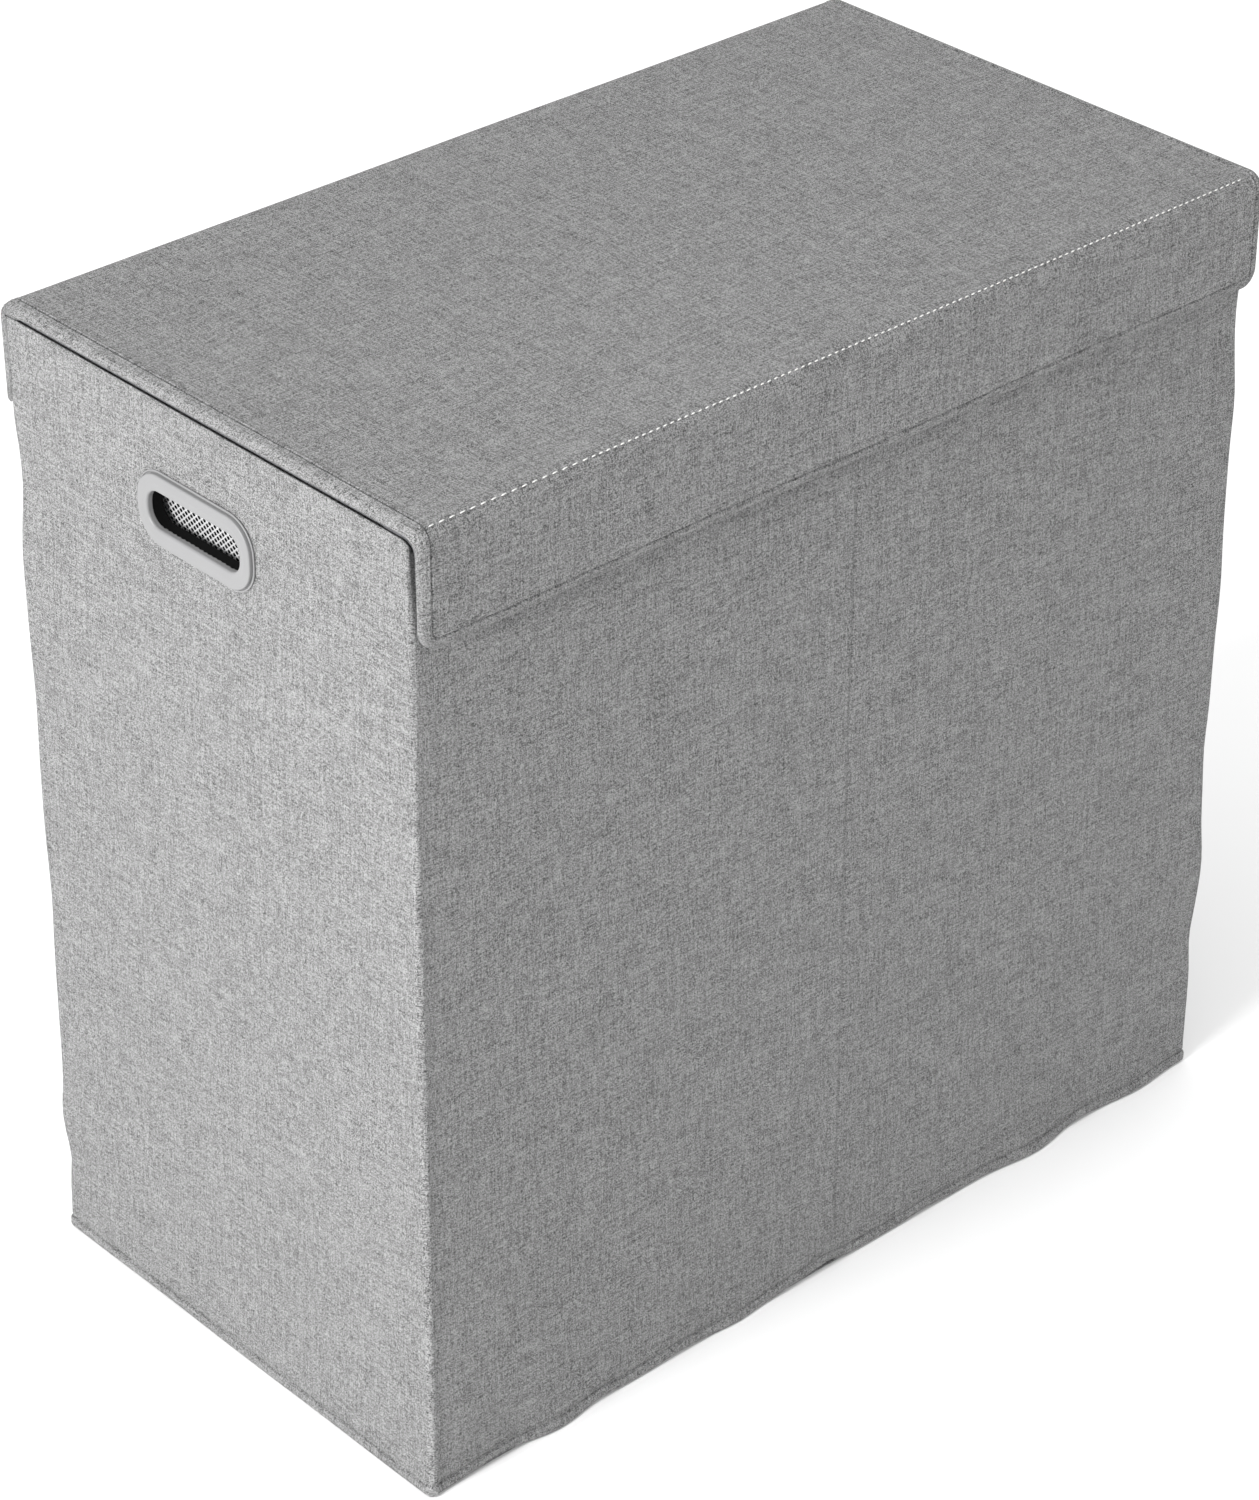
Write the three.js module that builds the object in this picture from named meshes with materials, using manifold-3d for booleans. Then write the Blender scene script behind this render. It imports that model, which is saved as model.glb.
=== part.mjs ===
// Laundry hamper: a fabric-over-board box with a hinged lid, a hinged front flap,
// two moulded grips and two lift-out mesh bins. Millimetres, +Z up, front towards -Y,
// origin on the floor under the middle of the body.

import * as THREE from 'three';
import { mergeVertices } from 'three/addons/utils/BufferGeometryUtils.js';
import Module from 'manifold-3d';

const wasm = await Module();
wasm.setup();

// Driving sizes of the whole hamper
const bodyWidth = 610;
const bodyDepth = 330;
const overallHeight = 607;
const clearance = 0.3;
const cutOverrun = 2;

// Wall layers, from the outside in
const coverCloth = 1.2;
const wallBoard = 3;
const liningCloth = 0.8;
const foldGap = 4;
const floorCloth = 1.2;

// Lid, laid flat on the rim
const lidCoverCloth = 1.1;
const lidBoard = 6;
const lidLiningCloth = 0.8;
const lidGap = 0.6;
const lidEdgeRadius = 7;

// Front flap, hung from the lid's front edge
const flapDrop = 68;
const flapBoard = 3.5;
const flapGap = 2.7;
const flapCornerRadius = 11;
const flapEdgeRound = 2.5;

// Back flap, held on the back wall by a hook-and-loop strip
const backFlapDrop = 68;
const backFlapCloth = 1;
const backFlapBoard = 3;
const fastenerStrip = 1;
const fastenerHeight = 25;
const fastenerEndInset = 20;
const fastenerDrop = 22;

// Binding over the top of the walls
const rimCloth = 1.2;
const rimDrop = 14;

// Moulded grips in the two side walls
const gripHoleLength = 77;
const gripHoleHeight = 22.5;
const gripHoleRadius = 9.5;
const gripBelowRim = 63;
const gripSetBack = 6;
const bezelLength = 96;
const bezelHeight = 45;
const bezelRadius = 19;
const bezelThickness = 2.8;
const bezelEdgeRound = 1;
const barrelWall = 1.6;
const collarThickness = 2;
const collarFlange = 7;

// Loose base insert
const baseBoard = 4;
const baseCloth = 0.8;
const baseClearance = 1;

// Mesh bins, hung inside the body from hook-and-loop pads
const binCloth = 1;
const binBelowRim = 20;
const binAboveBase = 12;
const bindingCloth = 1.2;
const bindingHeight = 25;
const hookPad = 1.2;
const loopPad = 1.2;
const padLength = 60;
const padHeight = 18;
const padBelowBinTop = 4;
const strapCloth = 1.5;
const strapHeight = 28;
const strapTabLength = 36;
const strapBelowRim = 18.5;

// Webbing handles inside each bin
const handleWebbing = 25;
const handleThickness = 1.8;
const handleLength = 150;
const handleDrop = 85;
const handleBelowBinTop = 12;
const handleCornerRadius = 26;

// Faceting of the round stretches
const cornerSteps = 6;
const bevelSteps = 2;

// Places worked out from the sizes above
const boardOffset = coverCloth + clearance;
const liningOffset = boardOffset + wallBoard + clearance;
const wallThickness = liningOffset + liningCloth;
const lidThickness = lidCoverCloth + clearance + lidBoard + clearance + lidLiningCloth;
const flapThickness = lidCoverCloth + clearance + flapBoard + clearance + lidLiningCloth;
const rimTop = overallHeight - lidThickness - lidGap;
const wallTop = rimTop - rimCloth - clearance;
const wallFoot = floorCloth + clearance;
const gripCentreHeight = rimTop - gripBelowRim;
const halfWidth = bodyWidth / 2;
const halfDepth = bodyDepth / 2;
const innerHalfWidth = halfWidth - wallThickness;
const innerHalfDepth = halfDepth - wallThickness;
const baseTop = wallFoot + baseBoard + clearance + baseCloth;
const binTop = rimTop - binBelowRim;
const binFoot = baseTop + binAboveBase;
const barrelLength = gripHoleLength + 2 * barrelWall;
const barrelHeight = gripHoleHeight + 2 * barrelWall;
const barrelRadius = gripHoleRadius + barrelWall;
const backFlapStack = clearance + fastenerStrip + clearance + backFlapBoard + clearance + backFlapCloth;
const lidHingeY = halfDepth + backFlapStack;
const sides = { left: -1, right: 1 };
const faces = { front: -1, back: 1 };

// Finishes, in the colours of the real piece
const finish = (color, roughness) => new THREE.MeshStandardMaterial({ color, roughness, metalness: 0 });
const heatherCloth = finish('#8f8f91', 0.95);
const fibreBoard = finish('#a08d74', 0.9);
const liningFabric = finish('#55565a', 0.95);
const gripPlastic = finish('#c9c9cb', 0.5);
const whiteMesh = finish('#eeeeee', 0.8);
const greyWebbing = finish('#77787c', 0.85);
const hookAndLoop = finish('#3f4044', 0.95);

// A closed solid from a geometry, with its shared corners merged
function solidOf(geometry) {
  const bare = geometry.clone();
  bare.deleteAttribute('normal');
  bare.deleteAttribute('uv');
  const merged = mergeVertices(bare);
  return new wasm.Manifold(new wasm.Mesh({
    numProp: 3,
    vertProperties: Float32Array.from(merged.attributes.position.array),
    triVerts: Uint32Array.from(merged.index.array),
  }));
}

// The geometry of a solid after a cut or a join
function geometryOf(solid) {
  const mesh = solid.getMesh();
  const geometry = new THREE.BufferGeometry();
  geometry.setAttribute('position', new THREE.BufferAttribute(mesh.vertProperties, 3));
  geometry.setIndex(new THREE.BufferAttribute(mesh.triVerts, 1));
  geometry.computeVertexNormals();
  return geometry;
}

// The first geometry with each of the others cut away
function cut(geometry, ...tools) {
  return geometryOf(tools.reduce((left, tool) => left.subtract(solidOf(tool)), solidOf(geometry)));
}

// Two or more overlapping geometries as one body
function join(first, ...others) {
  return geometryOf(others.reduce((sum, other) => sum.add(solidOf(other)), solidOf(first)));
}

// A block given by the ranges it fills along x, y and z
function block([x0, x1], [y0, y1], [z0, z1]) {
  const geometry = new THREE.BoxGeometry(x1 - x0, y1 - y0, z1 - z0);
  return geometry.translate((x0 + x1) / 2, (y0 + y1) / 2, (z0 + z1) / 2);
}

// A range centred on zero, and a layer that starts at one place and grows one way
const across = (length) => [-length / 2, length / 2];
const layer = (start, thickness, way = 1) => [start, start + way * thickness].sort((a, b) => a - b);

// A rectangle outline with a radius of its own at the lower and the upper corners
function roundedOutline(width, height, lowerRadius, upperRadius = lowerRadius) {
  const [x, y] = [width / 2, height / 2];
  const outline = new THREE.Shape();
  const corner = (cx, cy, radius, start) => {
    if (radius > 0) outline.absarc(cx, cy, radius, start, start + Math.PI / 2);
    else outline.lineTo(cx, cy);
  };
  outline.moveTo(-x + lowerRadius, -y);
  corner(x - lowerRadius, -y + lowerRadius, lowerRadius, -Math.PI / 2);
  corner(x - upperRadius, y - upperRadius, upperRadius, 0);
  corner(-x + upperRadius, y - upperRadius, upperRadius, Math.PI / 2);
  corner(-x + lowerRadius, -y + lowerRadius, lowerRadius, Math.PI);
  return outline;
}

// A plate of that outline standing in the x-z plane, filling the given range of y
function uprightPlate(outline, [y0, y1]) {
  const plate = new THREE.ExtrudeGeometry(outline, {
    depth: y1 - y0, bevelEnabled: false, curveSegments: cornerSteps,
  });
  return plate.rotateX(Math.PI / 2).translate(0, y1, 0);
}

// The covering of a flap: a tray whose outer face is at y = outer, with its edges rounded over,
// open at y = inner, towards the hamper. Its middle is at the origin in x and z.
function flapShell(height, cloth, outer, inner) {
  const shrink = 2 * flapEdgeRound;
  const [near, far] = [Math.min(outer, inner), Math.max(outer, inner)];
  const outwards = outer < inner;
  const plate = new THREE.ExtrudeGeometry(
    roundedOutline(bodyWidth - shrink, height - shrink, flapCornerRadius - flapEdgeRound, 0),
    {
      depth: far - near - flapEdgeRound,
      bevelEnabled: true,
      bevelThickness: flapEdgeRound,
      bevelSize: flapEdgeRound,
      bevelSegments: bevelSteps,
      curveSegments: cornerSteps,
    },
  );
  plate.rotateX(Math.PI / 2).translate(0, outwards ? inner : outer - flapEdgeRound, 0);
  const spare = outwards ? [inner, inner + shrink] : [inner - shrink, inner];
  const wide = 2 * bodyWidth;
  const pocketY = outwards ? [outer + cloth, inner + shrink] : [inner - shrink, outer - cloth];
  const pocket = uprightPlate(pocketOutline(height, cloth, 0), pocketY);
  return cut(plate, block(across(wide), spare, across(wide)), pocket);
}

// The outline of what fits inside such a tray, with a gap all round
function pocketOutline(height, cloth, gap) {
  const inset = cloth + gap;
  return roundedOutline(bodyWidth - 2 * inset, height - 2 * inset, flapCornerRadius - inset, 0);
}

// A stadium-like plug through a side wall, length along y, height along z, filling a range of x
function gripPlug(length, height, radius, [x0, x1], bevel = 0) {
  const plug = new THREE.ExtrudeGeometry(
    roundedOutline(length - 2 * bevel, height - 2 * bevel, radius - bevel),
    {
      depth: x1 - x0 - 2 * bevel,
      bevelEnabled: bevel > 0,
      bevelThickness: bevel,
      bevelSize: bevel,
      bevelSegments: bevelSteps,
      curveSegments: cornerSteps,
    },
  );
  return plug.rotateX(Math.PI / 2).rotateZ(Math.PI / 2).translate(x0 + bevel, 0, 0);
}

// A named piece, added to a group at a place
function piece(group, name, geometry, material, place = [0, 0, 0]) {
  const mesh = new THREE.Mesh(geometry, material);
  mesh.name = name;
  mesh.position.set(...place);
  group.add(mesh);
  return mesh;
}

// The hole in one wall layer that the grip's barrel passes through
function gripHoleCut(side, x) {
  const hole = gripPlug(
    barrelLength + 2 * clearance,
    barrelHeight + 2 * clearance,
    barrelRadius + clearance,
    [x[0] - cutOverrun, x[1] + cutOverrun],
  );
  return hole.translate(0, gripSetBack, gripCentreHeight);
}

// The four upright walls: cover cloth, boards and lining, front and back creased at mid-width
function walls(body) {
  const height = [wallFoot, wallTop];
  for (const [side, way] of Object.entries(sides)) {
    const ringed = (offset, thickness) => across(bodyDepth - 2 * (offset + thickness + clearance));
    const coverX = layer(way * halfWidth, coverCloth, -way);
    const boardX = layer(way * (halfWidth - boardOffset), wallBoard, -way);
    const liningX = layer(way * (halfWidth - liningOffset), liningCloth, -way);
    const holed = (x, y, z) => cut(block(x, y, z), gripHoleCut(side, x));
    piece(body, `cover_${side}`, holed(coverX, ringed(0, coverCloth), [0, wallTop]), heatherCloth);
    piece(body, `${side}_side_board`, holed(boardX, ringed(boardOffset, wallBoard), height), fibreBoard);
    piece(body, `lining_${side}`, holed(liningX, ringed(liningOffset, liningCloth), height), liningFabric);
  }
  for (const [face, way] of Object.entries(faces)) {
    const coverY = layer(way * halfDepth, coverCloth, -way);
    const boardY = layer(way * (halfDepth - boardOffset), wallBoard, -way);
    const liningY = layer(way * (halfDepth - liningOffset), liningCloth, -way);
    const boardEnd = halfWidth - boardOffset;
    piece(body, `cover_${face}`, block(across(bodyWidth), coverY, [0, wallTop]), heatherCloth);
    piece(body, `${face}_left_board`, block([-boardEnd, -foldGap / 2], boardY, height), fibreBoard);
    piece(body, `${face}_right_board`, block([foldGap / 2, boardEnd], boardY, height), fibreBoard);
    const liningSpan = across(bodyWidth - 2 * liningOffset);
    piece(body, `lining_${face}`, block(liningSpan, liningY, height), liningFabric);
  }
}

// The floor cloth, and the binding folded over the top of the walls
function floorAndRim(body) {
  const floorWidth = bodyWidth - 2 * (coverCloth + clearance);
  const floorDepth = bodyDepth - 2 * (coverCloth + clearance);
  piece(body, 'cover_bottom', block(across(floorWidth), across(floorDepth), [0, floorCloth]), heatherCloth);

  const legOuter = wallThickness + clearance;
  const legInner = legOuter + rimCloth;
  const cap = block(across(bodyWidth), across(bodyDepth), [rimTop - rimCloth, rimTop]);
  const legs = block(
    across(bodyWidth - 2 * legOuter),
    across(bodyDepth - 2 * legOuter),
    [rimTop - rimDrop, rimTop - rimCloth / 2],
  );
  const mouth = block(
    across(bodyWidth - 2 * legInner),
    across(bodyDepth - 2 * legInner),
    [rimTop - rimDrop - cutOverrun, rimTop + cutOverrun],
  );
  piece(body, 'rim_binding', cut(join(cap, legs), mouth), heatherCloth);
}

// A grip is a bezel whose barrel passes through the wall, and a collar pressed on inside
function grips(body) {
  for (const [side, way] of Object.entries(sides)) {
    const group = new THREE.Group();
    group.position.set(way * halfWidth, gripSetBack, gripCentreHeight);
    if (way < 0) group.rotation.z = Math.PI;
    body.add(group);

    const inside = -(wallThickness + clearance + collarThickness);
    const flange = gripPlug(
      bezelLength, bezelHeight, bezelRadius, [clearance, clearance + bezelThickness], bezelEdgeRound,
    );
    const barrelX = [inside, clearance + bezelThickness / 2];
    const barrel = gripPlug(barrelLength, barrelHeight, barrelRadius, barrelX);
    const hole = gripPlug(
      gripHoleLength, gripHoleHeight, gripHoleRadius, [inside - cutOverrun, bezelThickness + cutOverrun],
    );
    piece(group, `${side}_grip_bezel`, cut(join(flange, barrel), hole), gripPlastic);

    const socket = gripPlug(
      barrelLength + 2 * clearance,
      barrelHeight + 2 * clearance,
      barrelRadius + clearance,
      [inside - cutOverrun, cutOverrun],
    );
    const ring = gripPlug(
      barrelLength + 2 * collarFlange,
      barrelHeight + 2 * collarFlange,
      barrelRadius + collarFlange,
      [inside, inside + collarThickness],
    );
    piece(group, `${side}_grip_collar`, cut(ring, socket), gripPlastic);
  }
}

// The back flap: a covered board outside the back wall, on a hook-and-loop strip
function backFlap(body) {
  const stripY = layer(halfDepth + clearance, fastenerStrip);
  const inner = stripY[1] + clearance;
  const middle = [0, 0, overallHeight - backFlapDrop / 2];
  const inside = pocketOutline(backFlapDrop, backFlapCloth, clearance);
  const shell = flapShell(backFlapDrop, backFlapCloth, lidHingeY, inner);
  const board = uprightPlate(inside, layer(inner, backFlapBoard));
  piece(body, 'back_flap_cover', shell, heatherCloth, middle);
  piece(body, 'back_flap_board', board, fibreBoard, middle);

  const stripTop = overallHeight - fastenerDrop;
  piece(
    body,
    'back_flap_fastener',
    block(across(bodyWidth - 2 * fastenerEndInset), stripY, [stripTop - fastenerHeight, stripTop]),
    hookAndLoop,
  );
}

// The lid, in a frame on its hinge line, with the front flap nested in it
function lid(hamper) {
  const group = new THREE.Group();
  group.position.set(0, lidHingeY, overallHeight);
  hamper.add(group);

  const rear = halfDepth - lidHingeY;
  const front = -(halfDepth + flapGap - clearance) - lidHingeY;
  const y = [front, rear];
  const pocketY = [front + lidCoverCloth, rear - lidCoverCloth];
  const pocketWidth = bodyWidth - 2 * lidCoverCloth;
  const shell = uprightPlate(roundedOutline(bodyWidth, lidThickness, 0, lidEdgeRadius), y);
  const innerY = [pocketY[0] + clearance, pocketY[1] - clearance];
  const innerWidth = across(pocketWidth - 2 * clearance - 2 * lidEdgeRadius);
  const boardTop = -lidCoverCloth - clearance;
  const upperWidth = across(pocketWidth - 2 * lidEdgeRadius);
  const upperPocket = block(upperWidth, pocketY, [-lidEdgeRadius, -lidCoverCloth]);
  const lowerPocket = block(across(pocketWidth), pocketY, [-lidThickness - cutOverrun, -lidEdgeRadius]);
  shell.translate(0, 0, -lidThickness / 2);
  piece(group, 'lid_cover', cut(shell, upperPocket, lowerPocket), heatherCloth);
  piece(group, 'lid_board', block(innerWidth, innerY, layer(boardTop, lidBoard, -1)), fibreBoard);
  piece(
    group,
    'lid_lining',
    block(across(pocketWidth - 2 * clearance), innerY, [-lidThickness, -lidThickness + lidLiningCloth]),
    liningFabric,
  );
  frontFlap(group);
}

// The front flap, in a frame on its stitched fold, which lies over the middle of its thickness
function frontFlap(lidGroup) {
  const group = new THREE.Group();
  group.position.set(0, -(halfDepth + flapGap + flapThickness / 2) - lidHingeY, 0);
  lidGroup.add(group);

  const [outer, inner] = across(flapThickness);
  const inside = pocketOutline(flapDrop, lidCoverCloth, clearance);
  const boardY = layer(outer + lidCoverCloth + clearance, flapBoard);
  const middle = [0, 0, -flapDrop / 2];
  piece(group, 'flap_cover', flapShell(flapDrop, lidCoverCloth, outer, inner), heatherCloth, middle);
  piece(group, 'flap_board', uprightPlate(inside, boardY), fibreBoard, middle);
  piece(group, 'flap_lining', uprightPlate(inside, layer(inner, lidLiningCloth, -1)), liningFabric, middle);
}

// The loose insert that stiffens the floor: a board under a cloth cover
function baseInsert(hamper) {
  const width = 2 * (innerHalfWidth - baseClearance);
  const depth = 2 * (innerHalfDepth - baseClearance);
  const shell = block(across(width), across(depth), [wallFoot, baseTop]);
  const pocket = block(
    across(width - 2 * baseCloth),
    across(depth - 2 * baseCloth),
    [wallFoot - cutOverrun, baseTop - baseCloth],
  );
  const board = block(
    across(width - 2 * baseCloth - 2 * clearance),
    across(depth - 2 * baseCloth - 2 * clearance),
    layer(wallFoot, baseBoard),
  );
  piece(hamper, 'base_cover', cut(shell, pocket), liningFabric);
  piece(hamper, 'base_board', board, fibreBoard);
}

// Where the bins stand, from the pads, bindings and gaps between them and what holds them
const padStack = clearance + loopPad + clearance + hookPad + clearance + bindingCloth + clearance;
const binOuterX = innerHalfWidth - padStack;
const binInnerX = strapCloth / 2 + clearance + bindingCloth + clearance;
const binHalfDepth = innerHalfDepth - padStack;
const binMiddleX = (binOuterX + binInnerX) / 2;
const binWidth = binOuterX - binInnerX;
const handleSwing = handleThickness * Math.SQRT1_2;

// The strap across the middle, its end tabs sewn to the front and back linings: an I in plan
function centreStrap(body) {
  const reach = innerHalfDepth - clearance;
  const [web, tab, neck] = [strapCloth / 2, strapTabLength / 2, reach - strapCloth];
  const outline = new THREE.Shape([
    [-tab, -reach], [tab, -reach], [tab, -neck], [web, -neck], [web, neck], [tab, neck],
    [tab, reach], [-tab, reach], [-tab, neck], [-web, neck], [-web, -neck], [-tab, -neck],
  ].map(([x, y]) => new THREE.Vector2(x, y)));
  const strap = new THREE.ExtrudeGeometry(outline, { depth: strapHeight, bevelEnabled: false });
  piece(body, 'centre_strap', strap, greyWebbing, [0, 0, rimTop - strapBelowRim - strapHeight]);
}

// The webbing loop of one handle, standing in the x-z plane below its fold line
function handleLoop() {
  const outline = roundedOutline(handleLength, handleDrop, handleCornerRadius, 0);
  const innerRadius = handleCornerRadius - handleWebbing;
  const gapHeight = handleDrop - handleWebbing + cutOverrun;
  const loop = uprightPlate(outline, across(handleThickness));
  const gap = uprightPlate(
    roundedOutline(handleLength - 2 * handleWebbing, gapHeight, innerRadius, 0),
    across(handleThickness + 2 * cutOverrun),
  );
  gap.translate(0, 0, (handleWebbing + cutOverrun) / 2);
  return cut(loop, gap).translate(0, 0, (handleThickness - handleDrop) / 2);
}

// One mesh bin with its binding, pads and two handles, and the pads that it hangs from
function bin(hamper, body, side, way) {
  const group = new THREE.Group();
  group.position.x = way * binMiddleX;
  hamper.add(group);

  const depth = 2 * binHalfDepth;
  const bag = block(across(binWidth), across(depth), [binFoot, binTop]);
  const inside = block(
    across(binWidth - 2 * binCloth), across(depth - 2 * binCloth), [binFoot + binCloth, binTop + cutOverrun],
  );
  piece(group, `${side}_bin_mesh`, cut(bag, inside), whiteMesh);

  const bandGap = 2 * clearance;
  const bandGrow = bandGap + 2 * bindingCloth;
  const band = block(across(binWidth + bandGrow), across(depth + bandGrow), [binTop - bindingHeight, binTop]);
  const bandInside = block(
    across(binWidth + bandGap),
    across(depth + bandGap),
    [binTop - bindingHeight - cutOverrun, binTop + cutOverrun],
  );
  piece(group, `${side}_bin_binding`, cut(band, bandInside), greyWebbing);

  const padTop = binTop - padBelowBinTop;
  const padZ = [padTop - padHeight, padTop];
  const outX = way * (innerHalfWidth - clearance);
  const outwardLoop = layer(outX, loopPad, -way);
  const outwardHook = layer(outX - way * (loopPad + clearance), hookPad, -way);
  piece(body, `${side}_wall_loop_pad`, block(outwardLoop, across(padLength), padZ), hookAndLoop);
  piece(hamper, `${side}_bin_hook_pad`, block(outwardHook, across(padLength), padZ), hookAndLoop);

  for (const [face, facing] of Object.entries(faces)) {
    const outY = facing * (innerHalfDepth - clearance);
    const loopY = layer(outY, loopPad, -facing);
    const hookY = layer(outY - facing * (loopPad + clearance), hookPad, -facing);
    const middle = [way * binMiddleX, 0, 0];
    piece(body, `${side}_${face}_loop_pad`, block(across(padLength), loopY, padZ), hookAndLoop, middle);
    piece(hamper, `${side}_${face}_hook_pad`, block(across(padLength), hookY, padZ), hookAndLoop, middle);
    const handleY = facing * (binHalfDepth - binCloth - clearance - handleSwing);
    piece(
      group, `${side}_${face}_handle`, handleLoop(), greyWebbing, [0, handleY, binTop - handleBelowBinTop],
    );
  }
}

const hamper = new THREE.Group();
const body = new THREE.Group();
hamper.add(body);
walls(body);
floorAndRim(body);
grips(body);
backFlap(body);
centreStrap(body);
lid(hamper);
baseInsert(hamper);
for (const [side, way] of Object.entries(sides)) bin(hamper, body, side, way);

export default hamper;
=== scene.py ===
"""A laundry hamper with two bins: heather grey cloth over boards, two moulded grips, netting bins.

Lengths are in metres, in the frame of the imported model: +Z up, the front towards -Y. Each piece is a
surface worked out with numpy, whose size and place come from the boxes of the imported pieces.
"""

import math

import bmesh
import bpy
import numpy as np
from mathutils import Matrix, Vector


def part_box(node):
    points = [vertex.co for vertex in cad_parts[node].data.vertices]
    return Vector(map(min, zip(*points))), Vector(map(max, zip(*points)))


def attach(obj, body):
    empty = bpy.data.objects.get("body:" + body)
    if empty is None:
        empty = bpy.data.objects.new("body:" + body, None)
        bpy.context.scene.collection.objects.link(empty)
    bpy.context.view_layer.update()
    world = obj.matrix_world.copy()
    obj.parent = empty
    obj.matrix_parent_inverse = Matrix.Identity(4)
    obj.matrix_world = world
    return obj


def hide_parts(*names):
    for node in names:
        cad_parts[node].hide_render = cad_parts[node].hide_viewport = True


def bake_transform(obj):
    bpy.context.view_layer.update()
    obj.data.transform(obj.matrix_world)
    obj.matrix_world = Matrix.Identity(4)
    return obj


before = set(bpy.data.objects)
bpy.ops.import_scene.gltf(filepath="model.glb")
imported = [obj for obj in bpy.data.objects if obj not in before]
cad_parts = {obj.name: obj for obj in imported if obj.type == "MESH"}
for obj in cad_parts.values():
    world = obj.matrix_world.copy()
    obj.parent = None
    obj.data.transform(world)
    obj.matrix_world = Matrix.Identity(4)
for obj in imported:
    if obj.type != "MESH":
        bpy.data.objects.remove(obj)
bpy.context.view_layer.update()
MM = 0.001


def low(node):
    """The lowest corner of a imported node's box at rest."""
    return np.array(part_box(node)[0])


def high(node):
    """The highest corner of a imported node's box at rest."""
    return np.array(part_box(node)[1])


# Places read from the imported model
HALF_WIDTH = high("cover_right")[0]
HALF_DEPTH = high("cover_back")[1]
RIM_TOP = high("rim_binding")[2]
RIM_FOOT = low("rim_binding")[2]
WALL_INSIDE = low("lining_right")[0]
WALL_THICKNESS = HALF_WIDTH - WALL_INSIDE
WALL_FOOT = low("lining_front")[2]
LID_TOP = high("lid_cover")[2]
LID_UNDER = low("lid_cover")[2]
LID_THICKNESS = LID_TOP - LID_UNDER
FLAP_OUT = low("flap_cover")[1]
FLAP_IN = high("flap_cover")[1]
FLAP_FOOT = low("flap_cover")[2]
BACK_OUT = high("back_flap_cover")[1]
BACK_FLAP_SHORTER = 6 * MM
BACK_FOOT = low("back_flap_cover")[2] + BACK_FLAP_SHORTER
BACK_LEAN = 1.2 * MM

# Cloth and its seams
CLOTH = 0.6 * MM
THIN_CLOTH = 0.4 * MM
SEAM_INSET = 6.4 * MM
SEAM_DEPTH = 1.4 * MM
SEAM_WIDTH = 0.55 * MM
PLATE_CORNER = 11 * MM
PLATE_EDGE_START = 14 * MM
PLATE_EDGE_ROUND = 4.2 * MM
FOLD_ROUND = 9 * MM
BACK_ROUND = 11.5 * MM
INNER_FOLD_ROUND = 8 * MM
BODY_CORNER = 2.8 * MM
BACK_CORNER = 0.4 * MM
FRONT_SOFTER = 0.2 * MM
FRONT_SET_BACK = 2.1 * MM
PANEL_ROUND = 7 * MM
HEM_HEIGHT = 6 * MM

# Heights between which the walls change: where the panels' upper corners start to round, and where the
# front sets back, the upright corners change their radius and the left wall bows out
ROUND_FOOT = RIM_TOP - 22.9 * MM
SET_BACK_HEIGHTS = (RIM_TOP - 52.9 * MM, ROUND_FOOT)
BACK_CORNER_HEIGHTS = (RIM_TOP - 77.9 * MM, RIM_TOP - 57.9 * MM)
FRONT_CORNER_HEIGHTS = (RIM_TOP - 97.9 * MM, RIM_TOP - 37.9 * MM)
LEFT_BOW_HEIGHTS = (RIM_TOP - 197.9 * MM, RIM_TOP - 97.9 * MM)

SIDES = {"left": -1, "right": 1}
FACES = {"front": -1, "back": 1}


# Shader arithmetic


class Value:
    """A shader socket. Arithmetic on it adds Math nodes, and make() adds any other node."""

    def __init__(self, tree, socket):
        self.tree, self.socket = tree, socket

    @classmethod
    def make(cls, tree, kind, settings=None, inputs=None, output=0):
        """A new node: its settings are set first, then the values or links of its inputs."""
        node = tree.nodes.new("ShaderNode" + kind)
        for name, setting in (settings or {}).items():
            setattr(node, name, setting)
        for key, value in (inputs or {}).items():
            if isinstance(value, cls):
                tree.links.new(value.socket, node.inputs[key])
            else:
                node.inputs[key].default_value = value
        return cls(tree, node.outputs[output])

    def math(self, operation, *others, first=None):
        """The result of a Math node on this value and the others, in the order first, self, others."""
        terms = [term for term in (first, self, *others) if term is not None]
        return self.make(self.tree, "Math", {"operation": operation}, dict(enumerate(terms)))

    def __add__(self, other):
        return self.math("ADD", other)

    def __sub__(self, other):
        return self.math("SUBTRACT", other)

    def __mul__(self, other):
        return self.math("MULTIPLY", other)

    def __truediv__(self, other):
        return self.math("DIVIDE", other)

    def __pow__(self, other):
        return self.math("POWER", other)

    def __rsub__(self, other):
        return self.math("SUBTRACT", first=other)

    __radd__, __rmul__ = __add__, __mul__

    def between(self, start, end):
        """0 where this value is start or less, 1 where it is end or more, and smooth in between."""
        limits = {"Value": self, "From Min": start, "From Max": end}
        return self.make(self.tree, "MapRange", {"interpolation_type": "SMOOTHSTEP"}, limits)


def new_material(name, colour, roughness, **sockets):
    """A material with one Principled shader, whose even colour and sockets are set here."""
    material = bpy.data.materials.new(name)
    material.use_nodes = True
    material.diffuse_color = (*colour, 1)
    shader = material.node_tree.nodes["Principled BSDF"]
    shader.inputs["Base Color"].default_value = (*colour, 1)
    shader.inputs["Roughness"].default_value = roughness
    for key, value in sockets.items():
        shader.inputs[key.replace("_", " ").title()].default_value = value
    return material, material.node_tree, shader


def separate(tree, vector):
    """The x, y and z of a vector socket."""
    return [Value.make(tree, "SeparateXYZ", inputs={0: vector}, output=axis) for axis in range(3)]


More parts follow.
